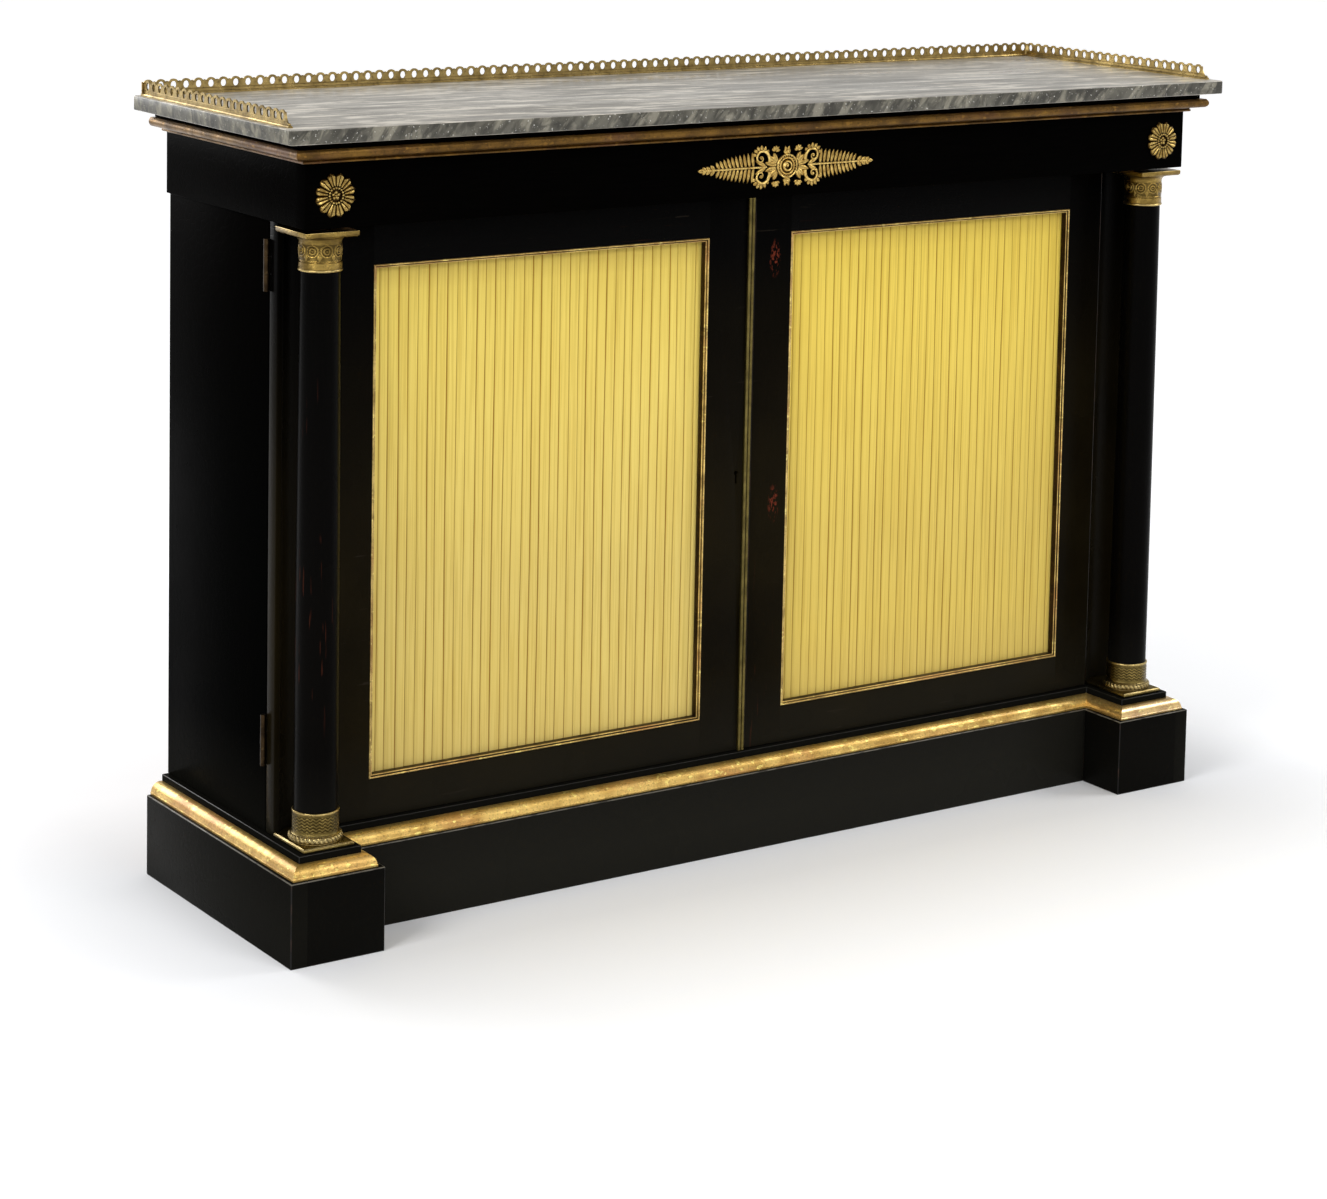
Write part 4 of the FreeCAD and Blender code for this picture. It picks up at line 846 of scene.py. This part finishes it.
def pleats(word, finish):
    """A pleated panel, from the line of its folds drawn along its foot and raised in steps."""
    low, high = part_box(word + "_silk")
    pitch = (high.x - low.x) / pleat_count
    front, root = low.y + 0.0001, high.y - 0.0012
    edges = [low.x + 0.0002]
    for i in range(1, pleat_count):
        stray = math.sin(i * 2.4) * 0.45 + math.sin(i * 5.1 + 1) * 0.35
        edges.append(low.x + pitch * (i + 0.12 * stray))
    edges.append(high.x - 0.001)
    line = [(edges[0], root)]
    for near, far in zip(edges, edges[1:]):
        start = near + 0.0011 + 0.0004 * math.sin(near * 2600)
        line += [(start, root - 0.0006), (start + 0.0007, front + 0.0011), (start + 0.0016, front + 0.0004)]
        swell = 0.0003 + 0.0002 * math.sin(near * 900)
        for share in (0.42, 0.6, 0.8):
            line.append((near + (far - near) * share, front + swell * (1.2 - share)))
        last = far >= edges[-1]
        tip = far + (0 if last else 0.0003)
        line.append((tip, front + 0.0002))
        if not last:
            line += [(tip + 0.0001, front + 0.0005), (far - 0.001, front + 0.0011)]
            line += [(far - 0.0024, root - 0.0008), (far - 0.0026, root - 0.0004), (far - 0.0022, root)]
    piece = traced([Vector((x, y, low.z + 0.0005)) for x, y in line], closed=False)
    for _ in range(silk_rows):
        drawn_out(0, 0, (high.z - low.z - 0.001) / silk_rows)
    bpy.ops.object.mode_set(mode="OBJECT")
    for corner in piece.data.vertices:
        x, y, z = corner.co
        sway = math.sin(z * 9 + x * 31) * 0.00045 + math.sin(z * 17 + x * 83) * 0.0002
        edge = min(1.0, (x - low.x) / pitch, (high.x - x) / pitch)
        corner.co.x += sway * edge
        corner.co.y += (math.sin(z * 23 + x * 140) * 0.00012 + 0.0001) * edge
    modifier = piece.modifiers.new("cloth", "SOLIDIFY")
    modifier.thickness = silk_thickness
    modifier.offset = 0
    bpy.ops.object.modifier_apply(modifier=modifier.name)
    bpy.ops.object.mode_set(mode="EDIT")
    outward()
    smoothed(50)
    fitted(piece, f"pleated_silk_{word}", f"{word}_door", "silk", [finish], f"{word}_silk")


pleats("left", yellow_silk("yellow_silk_left", (0.86, 0.675, 0.15), (0.72, 0.505, 0.08)))
pleats("right", yellow_silk("yellow_silk_right", (0.85, 0.645, 0.112), (0.71, 0.485, 0.06)))

# Astragal: a brass strip with two reeds, pinned to the meeting edge of the left door so that it covers
# the joint.
strip_brass = old_brass("astragal_brass", (0.15, 0.118, 0.035), (0.085, 0.066, 0.02), 0.4)
strip_low, strip_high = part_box("astragal")
reed = (strip_high.x - strip_low.x) / 2
step_y = strip_high.y - 0.0016
plan = bowed((strip_low.x + 0.0002, step_y), (strip_low.x + reed - 0.0002, step_y), 0.0023, 10)
plan += bowed((strip_low.x + reed + 0.0002, step_y), (strip_high.x - 0.0002, step_y), 0.0023, 10)
plan += [(strip_high.x, strip_high.y), (strip_low.x, strip_high.y)]
strip = cut_out([Vector((x, y, strip_low.z)) for x, y in plan], 0, 0, strip_high.z - strip_low.z)
smoothed(40)
fitted(strip, "astragal_brass", "left_door", "brass", [strip_brass], "astragal")


# Column shafts: turned ebonised wood with a slight swell, fixed to the stile between two brass plates.
def spun(points, centre, axis, steps):
    """A piece turned once about an axis from a line of points, its seam closed, still in edit mode."""
    piece = traced(points, closed=False)
    bpy.ops.mesh.spin(steps=steps, angle=math.tau, center=centre, axis=axis)
    merged()
    return piece


def turned(section, centre, steps=96):
    """A piece turned about an upright axis from its half section of (radius, height) points."""
    points = [Vector((centre[0] + radius, centre[1], height)) for radius, height in section]
    piece = spun(points, (centre[0], centre[1], 0), (0, 0, 1), steps)
    outward()
    return piece


shaft_low, shaft_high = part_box("right_column")
column_x = (shaft_low.x + shaft_high.x) / 2
column_y = (shaft_low.y + shaft_high.y) / 2
base_top, neck_foot = 0.1578, 0.7578
foot_radius, neck_radius, column_swell = 0.0244, 0.0222, 0.00055
shaft = [(0, shaft_low.z), (foot_radius, shaft_low.z)]
for i in range(17):
    share = i / 16
    radius = foot_radius + (neck_radius - foot_radius) * share + column_swell * 4 * share * (1 - share)
    shaft.append((radius, base_top + (neck_foot - base_top) * share))
shaft += [(neck_radius, shaft_high.z), (0, shaft_high.z)]
for word, side in SIDES:
    piece = turned(shaft, (column_x * side, column_y))
    smoothed(40)
    fitted(piece, f"column_shaft_{word}", f"{word}_door", "ebonised_wood", [ebony_z], f"{word}_column")


# Column bases and capitals: cast ormolu, chased and gilt. Below, a square plate, a rope torus and an
# engine-turned collar, and above, two rings, a neck chased with ovals, a flare and a square abacus. Their
# plates run back into the hollow of the stile.
def mark_hollows(piece, depths):
    """Note on each corner of a piece how deep in a hollow it lies, from 0 to 1."""
    modelling()
    marks = piece.data.attributes.new("hollow", "FLOAT", "POINT")
    for mark, depth in zip(marks.data, depths):
        mark.value = min(1.0, max(0.0, depth))


def in_hollows(finish, metal, dirt_and_shade):
    """A metal's colour with dirt and painted shade in the marked hollows."""
    hollow = finish.put("Attribute", {}, "Fac", attribute_name="hollow")
    return finish.mixed(finish.times(hollow, 0.9), metal, dirt_and_shade)


def ormolu(name, bright, dull, dirt_and_shade=(0.022, 0.014, 0.004)):
    """Old gilding on brass with turned lines, specked and brown."""
    finish = Finish(name, Metallic=1.0, Roughness=0.36, Specular_IOR_Level=0.4)
    off_x = finish.math("SUBTRACT", finish.math("ABSOLUTE", finish.along("X")), column_x)
    off_y = finish.math("SUBTRACT", finish.along("Y"), column_y)
    rings = finish.math("SINE", finish.times(finish.along("Z"), 4200))
    rays = finish.math("SINE", finish.times(finish.math("ARCTAN2", off_y, off_x), 96))
    turned_lines = finish.times(rings, finish.between(rays, -1, 1, 0.4, 1))
    cloud = finish.noise(45, detail=6)
    speck = finish.between(finish.noise(320, detail=4), 0.52, 0.7)
    metal = finish.mixed(finish.between(cloud, 0.35, 0.65), bright, dull)
    metal = finish.mixed(finish.times(speck, 0.45), metal, (0.07, 0.042, 0.014))
    metal = finish.mixed(finish.between(turned_lines, 0.1, -1, 0, 0.5), metal, (0.05, 0.032, 0.01))
    # The marked hollows are darkened with dirt and painted shade.
    finish.to("Base Color", in_hollows(finish, metal, dirt_and_shade))
    finish.to("Roughness", finish.between(cloud, 0.3, 0.7, 0.22, 0.4))
    finish.bumps((turned_lines, 0.00012), (cloud, 0.0003))
    return finish.material


base_metal = ormolu("base_ormolu", (0.24, 0.178, 0.055), (0.12, 0.086, 0.024))
capital_metal = ormolu("capital_ormolu", (0.32, 0.215, 0.056), (0.13, 0.084, 0.021), (0.036, 0.023, 0.006))
rope_and_edge_highlight_metal = ormolu("rope_ormolu_and_edge_highlight", (0.5, 0.39, 0.17), (0.3, 0.22, 0.085))
rubbed_metal = old_brass("rubbed_ormolu", (0.52, 0.39, 0.15), (0.32, 0.23, 0.085), 0.3)
door_face, plate_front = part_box("right_stile_outer")[0].y, -0.16
hollow_x, hollow_outer = 0.5915, 0.6215
stile_radius, stile_cut, hollow_radius = 0.036125, 0.016, 0.03583
hollow_y = door_face - (stile_radius - stile_cut)


def plate_with_tail(side, inner, outer, levels, lip):
    """A square plate in front of the door with a tail that fits the hollow, its edge stepped by a lip."""
    plan = [(inner, plate_front), (outer, plate_front), (outer, door_face), (hollow_outer, door_face)]
    for i in range(9):
        x = hollow_outer + (inner - hollow_outer) * i / 8
        plan.append((x, hollow_y + math.sqrt(hollow_radius**2 - (x - hollow_x) ** 2)))
    piece = cut_out([Vector((x * side, y, levels[0])) for x, y in plan], 0, 0, levels[1] - levels[0])
    pick("FACE", lambda face: face.normal.z * math.copysign(1, lip) > 0.9)
    bpy.ops.mesh.inset(thickness=0.0016, use_even_offset=True)
    bpy.ops.transform.translate(value=(0, 0, lip))
    pick("EDGE", lambda edge: sharper(edge, 51))
    bpy.ops.mesh.bevel(offset=0.0004, segments=2)
    smoothed(50)
    return piece


def rope(centre, height, radius, thick, strands):
    """A torus twisted like a rope."""
    groove = 0.34
    modelling()
    bpy.ops.mesh.primitive_torus_add(
        location=(centre[0], centre[1], height), major_segments=336, minor_segments=14,
        major_radius=radius - thick, minor_radius=thick,
    )
    piece = bpy.context.object
    settled()
    depths = []
    for corner in piece.data.vertices:
        x, y, z = corner.co.x - centre[0], corner.co.y - centre[1], corner.co.z - height
        bearing = math.atan2(y, x)
        ring = Vector((math.cos(bearing), math.sin(bearing), 0)) * (radius - thick)
        from_ring = Vector((x, y, z)) - ring
        climb = math.atan2(z, from_ring.dot(ring.normalized()))
        swell = 1 - groove + groove * abs(math.cos(strands / 2 * bearing + climb * 1.1)) ** 0.6
        corner.co = Vector((centre[0], centre[1], height)) + ring + from_ring * swell
        depths.append((1 - swell) / groove * 1.3 - 0.15)
    bpy.ops.object.shade_smooth()
    mark_hollows(piece, depths)
    return piece


def chased(piece, centre, low, high, least, depth, pattern):
    """Push the skin of a turned piece in and out by a pattern of (turn, height share)."""
    modelling()
    depths = []
    for corner in piece.data.vertices:
        x, y, z = corner.co.x - centre[0], corner.co.y - centre[1], corner.co.z
        radius = math.hypot(x, y)
        depths.append(0)
        if low < z < high and radius > least:
            height = pattern(math.atan2(y, x), (z - low) / (high - low))
            grown = (radius + depth * height) / radius
            corner.co.x, corner.co.y = centre[0] + x * grown, centre[1] + y * grown
            depths[-1] = 0.4 - height
    mark_hollows(piece, depths)
    in_hand(piece)
    bpy.ops.object.shade_smooth_by_angle(angle=math.radians(60))
    return piece


def banded(piece, finish, *heights):
    """Give a finish of a piece to its faces that lie between two heights."""
    for face in piece.data.polygons:
        if any(low < face.center.z < high for low, high in heights):
            face.material_index = finish


def ovals(turn, share):
    """Nested ovals side by side, with a small lozenge between them."""
    cell = (turn / math.tau * 9) % 1 - 0.5
    away = math.hypot(cell * 2.1, (share - 0.6) * 2.3)
    between = abs(abs(cell) - 0.5) * 5 + abs(share - 0.25) * 3.2
    if between < 0.8:
        return 0.9 - between
    return math.cos(away * 15) if away < 1 else -0.4


def diamonds(turn, share):
    """Two crossed waves, as from an engine lathe."""
    wave = math.sin(share * 34 + math.sin(turn * 24) * 1.7)
    return wave if 0.06 < share < 0.9 else 0.0


abacus_low, abacus_high, abacus_inner, abacus_outer, abacus_lip = 0.7968, 0.803, 0.566, 0.6315, 0.0018
foot_thick, foot_inner, foot_outer, foot_lip = 0.0042, 0.5655, 0.6285, 0.0014
plate_top = shaft_low.z
rope_radius, rope_thick, strands = 0.0306, 0.0044, 34
collar_radius, ring_radius, groove_step = 0.0259, 0.0235, 0.00045
fine_steps = 192
for word, side in SIDES:
    centre = (column_x * side, column_y)
    levels = (plate_top - foot_thick, plate_top - foot_lip)
    foot = plate_with_tail(side, foot_inner, foot_outer, levels, foot_lip)
    twist = rope(centre, plate_top + rope_thick, rope_radius, rope_thick, strands)
    collar = [(0.0246, plate_top), (0.0276, plate_top)]
    collar += [(0.0278, plate_top + 0.001), (0.0268, plate_top + 0.0074)]
    collar += bowed((0.0276, plate_top + 0.0086), (collar_radius, plate_top + 0.0112), -0.0006, 4)
    collar += [(collar_radius, plate_top + 0.0118 + groove_step * i) for i in range(44)]
    collar += bowed((collar_radius, base_top - 0.0026), (collar_radius, base_top), 0.0006, 6)
    collar.append((0.0246, base_top))
    sleeve = turned(collar, centre, fine_steps)
    chased(sleeve, centre, plate_top + 0.012, base_top - 0.003, 0.0255, 0.00022, diamonds)
    piece = joined([foot, twist, sleeve])
    finishes = [base_metal, rubbed_metal, rope_and_edge_highlight_metal]
    fitted(piece, f"column_base_{word}", f"{word}_door", "ormolu", finishes, f"{word}_base_and_capital")
    banded(piece, 1, (base_top - 0.0022, base_top + 0.001))
    # The rope takes the bright rope metal, and a thin band round the top edge of the foot plate takes it too
    # as a painted highlight.
    banded(piece, 2, (plate_top - 0.0013, plate_top - 0.0001), (plate_top, plate_top + 0.009))

    ring = [(0.0224, neck_foot), (0.024, neck_foot)]
    ring += bowed((0.0242, neck_foot + 0.0003), (0.0242, neck_foot + 0.0023), 0.0004, 5)
    ring += [(0.0237, neck_foot + 0.0028), (0.0239, neck_foot + 0.0034), (0.0238, neck_foot + 0.0098)]
    ring += [(0.0226, neck_foot + 0.0103), (0.0226, neck_foot + 0.0112), (0.0236, neck_foot + 0.0117)]
    ring += [(ring_radius, neck_foot + 0.0122 + groove_step * i) for i in range(40)]
    ring += bowed((ring_radius, neck_foot + 0.0304), (0.0292, abacus_low - 0.001), -0.0017, 10)
    ring += [(0.0296, abacus_low - 0.0004), (0.0296, abacus_low), (0.0224, abacus_low)]
    neck = turned(ring, centre, fine_steps)
    chased(neck, centre, neck_foot + 0.0122, neck_foot + 0.03, 0.023, 0.0006, ovals)
    levels = (abacus_low + abacus_lip, abacus_high)
    abacus = plate_with_tail(side, abacus_inner, abacus_outer, levels, -abacus_lip)
    piece = joined([neck, abacus])
    finishes = [capital_metal, rubbed_metal]
    fitted(piece, f"column_capital_{word}", f"{word}_door", "ormolu", finishes, f"{word}_base_and_capital")
    banded(piece, 1, (neck_foot - 0.0001, neck_foot + 0.0024), (abacus_high - 0.0012, abacus_high - 0.0001))


# Rosettes: two cast and chased flowers of twelve ribbed petals round a beaded ring and a small flower,
# pinned on the frieze over the columns.
def chased_gold(name, bright, dull):
    """Fire gilding on the frieze mounts, painted shade darkening it below its crests and to dark brown near
    the wood.
    """
    finish = Finish(name, Metallic=1.0, Roughness=0.34, Specular_IOR_Level=0.4)
    out = finish.along("Y")
    high = finish.between(out, frieze_y - 0.0007, frieze_y - 0.0022)
    cloud = finish.noise(130, detail=5)
    metal = finish.mixed(finish.between(cloud, 0.35, 0.65), bright, dull)
    speck = finish.between(finish.noise(700, detail=3), 0.5, 0.62, 0, 0.5)
    metal = finish.mixed(speck, metal, (0.12, 0.07, 0.018))
    # Painted shade: the gold is darkened below the crests, and turns dark brown near the frieze.
    tips = finish.between(out, frieze_y - 0.0019, frieze_y - 0.0032)
    metal = finish.mixed(tips, finish.mixed(1.0, metal, (0.66, 0.6, 0.5), "MULTIPLY"), metal)
    metal = finish.mixed(high, (0.05, 0.027, 0.007), metal)
    finish.to("Base Color", in_hollows(finish, metal, (0.012, 0.006, 0.002)))
    finish.to("Roughness", finish.between(cloud, 0.3, 0.7, 0.24, 0.4))
    finish.bumps((cloud, 0.0003))
    return finish.material


mount_gold = chased_gold("mount_gold", (0.84, 0.61, 0.2), (0.48, 0.31, 0.085))
rosette_gold = chased_gold("rosette_gold", (0.46, 0.33, 0.105), (0.23, 0.145, 0.036))
mounts_z = (frieze_low.z + frieze_high.z) / 2
rosette_radius, petals, disc_steps, turn_steps = 0.0245, 12, 40, 288
rosette_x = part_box("rosettes")[1].x - rosette_radius


def bump(value, width):
    """A rounded hill of height one about zero."""
    return math.exp(-((value / width) ** 2))


def rosette(middle):
    """A disc turned from a line, pushed into petals with double rims, with beads and a button set in it."""
    points = []
    for i in range(disc_steps + 1):
        points.append(Vector((middle + 0.0005 + rosette_radius * i / disc_steps, frieze_y - 0.001, mounts_z)))
    piece = spun(points, (middle, frieze_y, mounts_z), (0, 1, 0), turn_steps)
    bpy.ops.object.mode_set(mode="OBJECT")
    depths = []
    for corner in piece.data.vertices:
        x, z = corner.co.x - middle, corner.co.z - mounts_z
        radius, bearing = math.hypot(x, z), math.atan2(z, x)
        cell = (bearing / math.tau * petals) % 1 * 2 - 1
        tip = 0.0196 + 0.0049 * math.sqrt(max(0.0, 1 - cell**2 * 0.98))
        share = min(1.0, radius / 0.025)
        inner = max(0.0, (share - 0.42) / 0.58)
        ridge = math.sin(math.pi * abs(cell)) ** 0.7 * min(1.0, (1 - inner) * 6)
        rise = 0.0004 + 0.003 * ridge + 0.0009 * bump(cell, 0.2)
        depth = 1.1 - 1.7 * ridge - 0.35 * bump(cell, 0.15) * (1 - inner) + 0.9 * bump(inner, 0.13)
        if share < 0.42:
            rise, depth = 0.0009, 0.9
        depths.append(depth)
        x, z = share * tip * math.cos(bearing), share * tip * math.sin(bearing)
        corner.co = Vector((middle + x, frieze_y - rise, mounts_z + z))
    mark_hollows(piece, depths)
    piece.select_set(True)
    bpy.ops.object.mode_set(mode="EDIT")
    pick("EDGE", lambda edge: edge.is_boundary)
    drawn_out(0, 0.0004, 0)
    bpy.ops.mesh.edge_face_add()
    bpy.ops.mesh.select_all(action="SELECT")
    bpy.ops.mesh.fill_holes(sides=300)
    outward()
    smoothed(45)
    parts = [piece]
    for count, reach, rise, size, first in (
        (16, 0.0084, 0.003, 0.0014, 0), (5, 0.0034, 0.0012, 0.0021, 0.3), (1, 0, 0.0026, 0.0013, 0)
    ):
        for i in range(count):
            angle = math.tau * i / count + first
            x, z = middle + reach * math.cos(angle), mounts_z + reach * math.sin(angle)
            parts.append(ball((x, frieze_y - rise, z), size))
    return joined(parts)


for word, side in SIDES:
    fitted(rosette(rosette_x * side), f"rosette_{word}", "carcase", "ormolu", [rosette_gold], "rosettes")

# Centre mount: one pierced casting, chased and gilt: a beaded roundel between fans of leaves, four scrolls
# edged with leaflets, sprigs and buds above and below, and a fern frond that tapers to each end.
mount_low, mount_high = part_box("centre_mount")
mount_x = (mount_low.x + mount_high.x) / 2
mount_half = (mount_high.x - mount_low.x) / 2
casting = []


def on_mount(u, v, rise=0.0):
    """A point of the mount's drawing, from its middle, raised off the frieze."""
    return Vector((mount_x + u, frieze_y - rise, mounts_z + v))


def leaflet():
    """A pointed leaf along Z from the origin, one unit long, raised to a grooved midrib."""
    modelling()
    bpy.ops.mesh.primitive_grid_add(x_subdivisions=6, y_subdivisions=8, size=1, location=(0, 0, 0))
    piece = bpy.context.object
    depths = []
    for corner in piece.data.vertices:
        across, along = corner.co.x * 2, corner.co.y + 0.5
        width = 0.5 * math.sin(math.pi * (0.1 + along * 0.9)) ** 0.75
        rise = 0.0013 + 0.0021 * (1 - abs(across)) ** 0.7 * (1 - along * 0.3) - 0.0009 * bump(across, 0.2)
        # The rim and the tip are marked as deep hollow: a painted outline of shade round each leaf.
        depths.append(1.1 * (abs(across) > 0.9 or along > 0.99 or along < 0.01) + 0.45 * (abs(across) < 0.1))
        corner.co = Vector((across * width, -rise, along))
    mark_hollows(piece, depths)
    piece.select_set(True)
    bpy.ops.object.mode_set(mode="EDIT")
    merged(0.0001)
    pick("EDGE", lambda edge: edge.is_boundary)
    drawn_out(0, 0.0012, 0)
    outward()
    smoothed(60)
    return piece


def leaf(u, v, lean, length, width):
    """Cast in a copy of the leaf with its own mesh, sized, and leaned in the plane of the frieze."""
    in_hand(leaf_pattern)
    bpy.ops.object.duplicate()
    piece = bpy.context.object
    piece.scale = (width, 1, length)
    piece.rotation_euler = (0, lean, 0)
    piece.location = on_mount(u, v)
    settled()
    casting.append(piece)


def boss(u, v, rise, radius):
    """Cast in a small round boss."""
    casting.append(ball(on_mount(u, v, rise), radius))


def scroll(u, v, side, up, widest, turns, thick):
    """Cast in a volute of tapering round metal, drawn as a spiral from its outer end to its eye."""
    modelling()
    curve = bpy.data.curves.new("scroll", "CURVE")
    curve.dimensions = "3D"
    curve.bevel_depth = 0.0008
    curve.bevel_resolution = 2
    curve.use_fill_caps = True
    line = curve.splines.new("POLY")
    steps = 44
    line.points.add(steps)
    for i in range(steps + 1):
        share = i / steps
        angle = math.radians(200) - share * math.tau * turns
        radius = widest * math.exp(-2.1 * share)
        spot = on_mount((u + radius * math.cos(angle)) * side, (v + radius * math.sin(angle)) * up, 0.0021)
        line.points[i].co = (*spot, 1)
        line.points[i].radius = thick * (2.2 * (1 - share) ** 2 + 0.75)
    piece = bpy.data.objects.new("scroll", curve)
    bpy.context.scene.collection.objects.link(piece)
    in_hand(piece)
    bpy.ops.object.convert(target="MESH")
    bpy.ops.object.shade_smooth()
    casting.append(bpy.context.object)


def upward(lean, up):
    """A lean kept above the middle line and mirrored below it."""
    return lean if up > 0 else math.pi - lean


leaf_pattern = leaflet()
stem_plan = [(-0.0013, 0.0006), (0.0013, 0.0006), (0.0009, 0.0028), (0, 0.0032), (-0.0009, 0.0028)]
scroll_u, scroll_v, bud_u, bud_v = 0.038, 0.0104, 0.0165, 0.0185
for side in (-1, 1):
    stem_from, stem_to = on_mount(0.03 * side, 0), on_mount((mount_half - 0.01) * side, 0)
    casting.append(run(stem_plan, stem_from, stem_to, (0, 0, 1), (0, -1, 0), (0, 0)))
    for i in range(10):
        length = 0.018 - 0.00035 * i - 0.00006 * i * i
        for up in (-1, 1):
            lean = upward(side * (0.12 + 0.04 * i), up)
            leaf((0.0485 + 0.0054 * i) * side, 0.0006 * up, lean, length, 0.0047)
    for u, size, lean in ((0.104, 0.0085, 0.75), (0.11, 0.0075, 0.9), (0.1165, 0.0062, 0.8)):
        for up in (-1, 1):
            leaf(u * side, 0, upward(side * lean, up), size, 0.0056)
        boss((u + 0.0035) * side, 0, 0.0026, 0.0015)
    leaf((mount_half - 0.0095) * side, 0, side * math.pi / 2, 0.0095, 0.0058)
    for angle in (-1.1, -0.66, -0.22, 0.22, 0.66, 1.1):
        u, v = 0.0135 + 0.002 * math.cos(angle), 0.0065 * math.sin(angle)
        leaf(u * side, v, side * (math.pi / 2 - angle), 0.0185 - 0.006 * abs(angle), 0.0068)
    for up in (-1, 1):
        leaf(0.031 * side, 0.001 * up, side * (math.pi / 2 - 0.45 * up), 0.0165, 0.0056)
        scroll(scroll_u, scroll_v, side, up, 0.0128, 1.5, 1.0)
        boss(scroll_u * side, scroll_v * up, 0.0024, 0.0013)
        for angle, size in (
            (2.55, 0.0052), (2.15, 0.0062), (1.75, 0.0066), (1.35, 0.0066), (0.95, 0.0062), (0.5, 0.0055)
        ):
            reach = 0.0078 + 0.0009 * angle
            u, v = scroll_u + reach * math.cos(angle), scroll_v + reach * math.sin(angle)
            lean = math.atan2(math.cos(angle - 0.35) * side, math.sin(angle - 0.35) * up)
            leaf(u * side, v * up, lean, size, 0.005)
        for angle in (0.35, 1.0, 1.65, 2.3, 3.0):
            u, v = bud_u + 0.0008 * math.cos(angle), bud_v + 0.0008 * math.sin(angle)
            leaf(u * side, v * up, math.atan2(math.cos(angle) * side, math.sin(angle) * up), 0.0056, 0.0044)
        boss(bud_u * side, bud_v * up, 0.003, 0.0013)
for up in (-1, 1):
    for lean, size in ((-0.75, 0.0072), (0.75, 0.0072), (-0.3, 0.0105), (0.3, 0.0105)):
        leaf(0, 0.0138 * up, upward(lean, up), size, 0.0052)
    boss(0, 0.0175 * up, 0.0026, 0.002)
disc_profile = [(0.0005, 0.0016), (0.0042, 0.0016), (0.0046, 0.004), (0.0058, 0.0044), (0.0066, 0.0036)]
disc_profile += [(0.007, 0.0016), (0.0082, 0.0014), (0.0088, 0.003), (0.0098, 0.0034), (0.0108, 0.0028)]
disc_profile += [(0.0112, 0.0012), (0.0124, 0.0012), (0.0128, 0.0032), (0.0138, 0.0036), (0.0148, 0.0028)]
disc_profile.append((0.015, 0.0006))
roundel = spun([on_mount(radius, 0, rise) for radius, rise in disc_profile], on_mount(0, 0), (0, 1, 0), 64)
bpy.ops.mesh.fill_holes(sides=80)
outward()
smoothed(50)
mark_hollows(roundel, [(corner.co.y - frieze_y + 0.0026) / 0.001 for corner in roundel.data.vertices])
casting.append(roundel)
scroll(0, 0, 1, 1, 0.004, 1.2, 0.8)
boss(0, 0, 0.0026, 0.0014)
for i in range(24):
    angle = math.tau * i / 24
    boss(0.0118 * math.cos(angle), 0.0118 * math.sin(angle), 0.0022, 0.0008)
fitted(joined(casting), "frieze_mount", "carcase", "ormolu", [mount_gold], "centre_mount")
in_hand(leaf_pattern)
bpy.ops.object.delete()

# Hinges and lock: pressed brass butts outside the carcase side, and an iron lock let into the edge of the
# left door. They stay as the frame has them, with their own finishes.
hinge_brass = old_brass("hinge_brass", (0.045, 0.028, 0.013), (0.014, 0.009, 0.005), 0.4)
dark_iron = old_brass("dark_iron", (0.09, 0.085, 0.08), (0.05, 0.045, 0.04), 0.5)
metals = dict.fromkeys(("carcase_hinges", "left_door_hinges", "right_door_hinges"), hinge_brass)
metals.update(lock_case=dark_iron, lock_bolt=dark_iron)
for node, metal in metals.items():
    solids[node].data.materials.clear()
    solids[node].data.materials.append(metal)
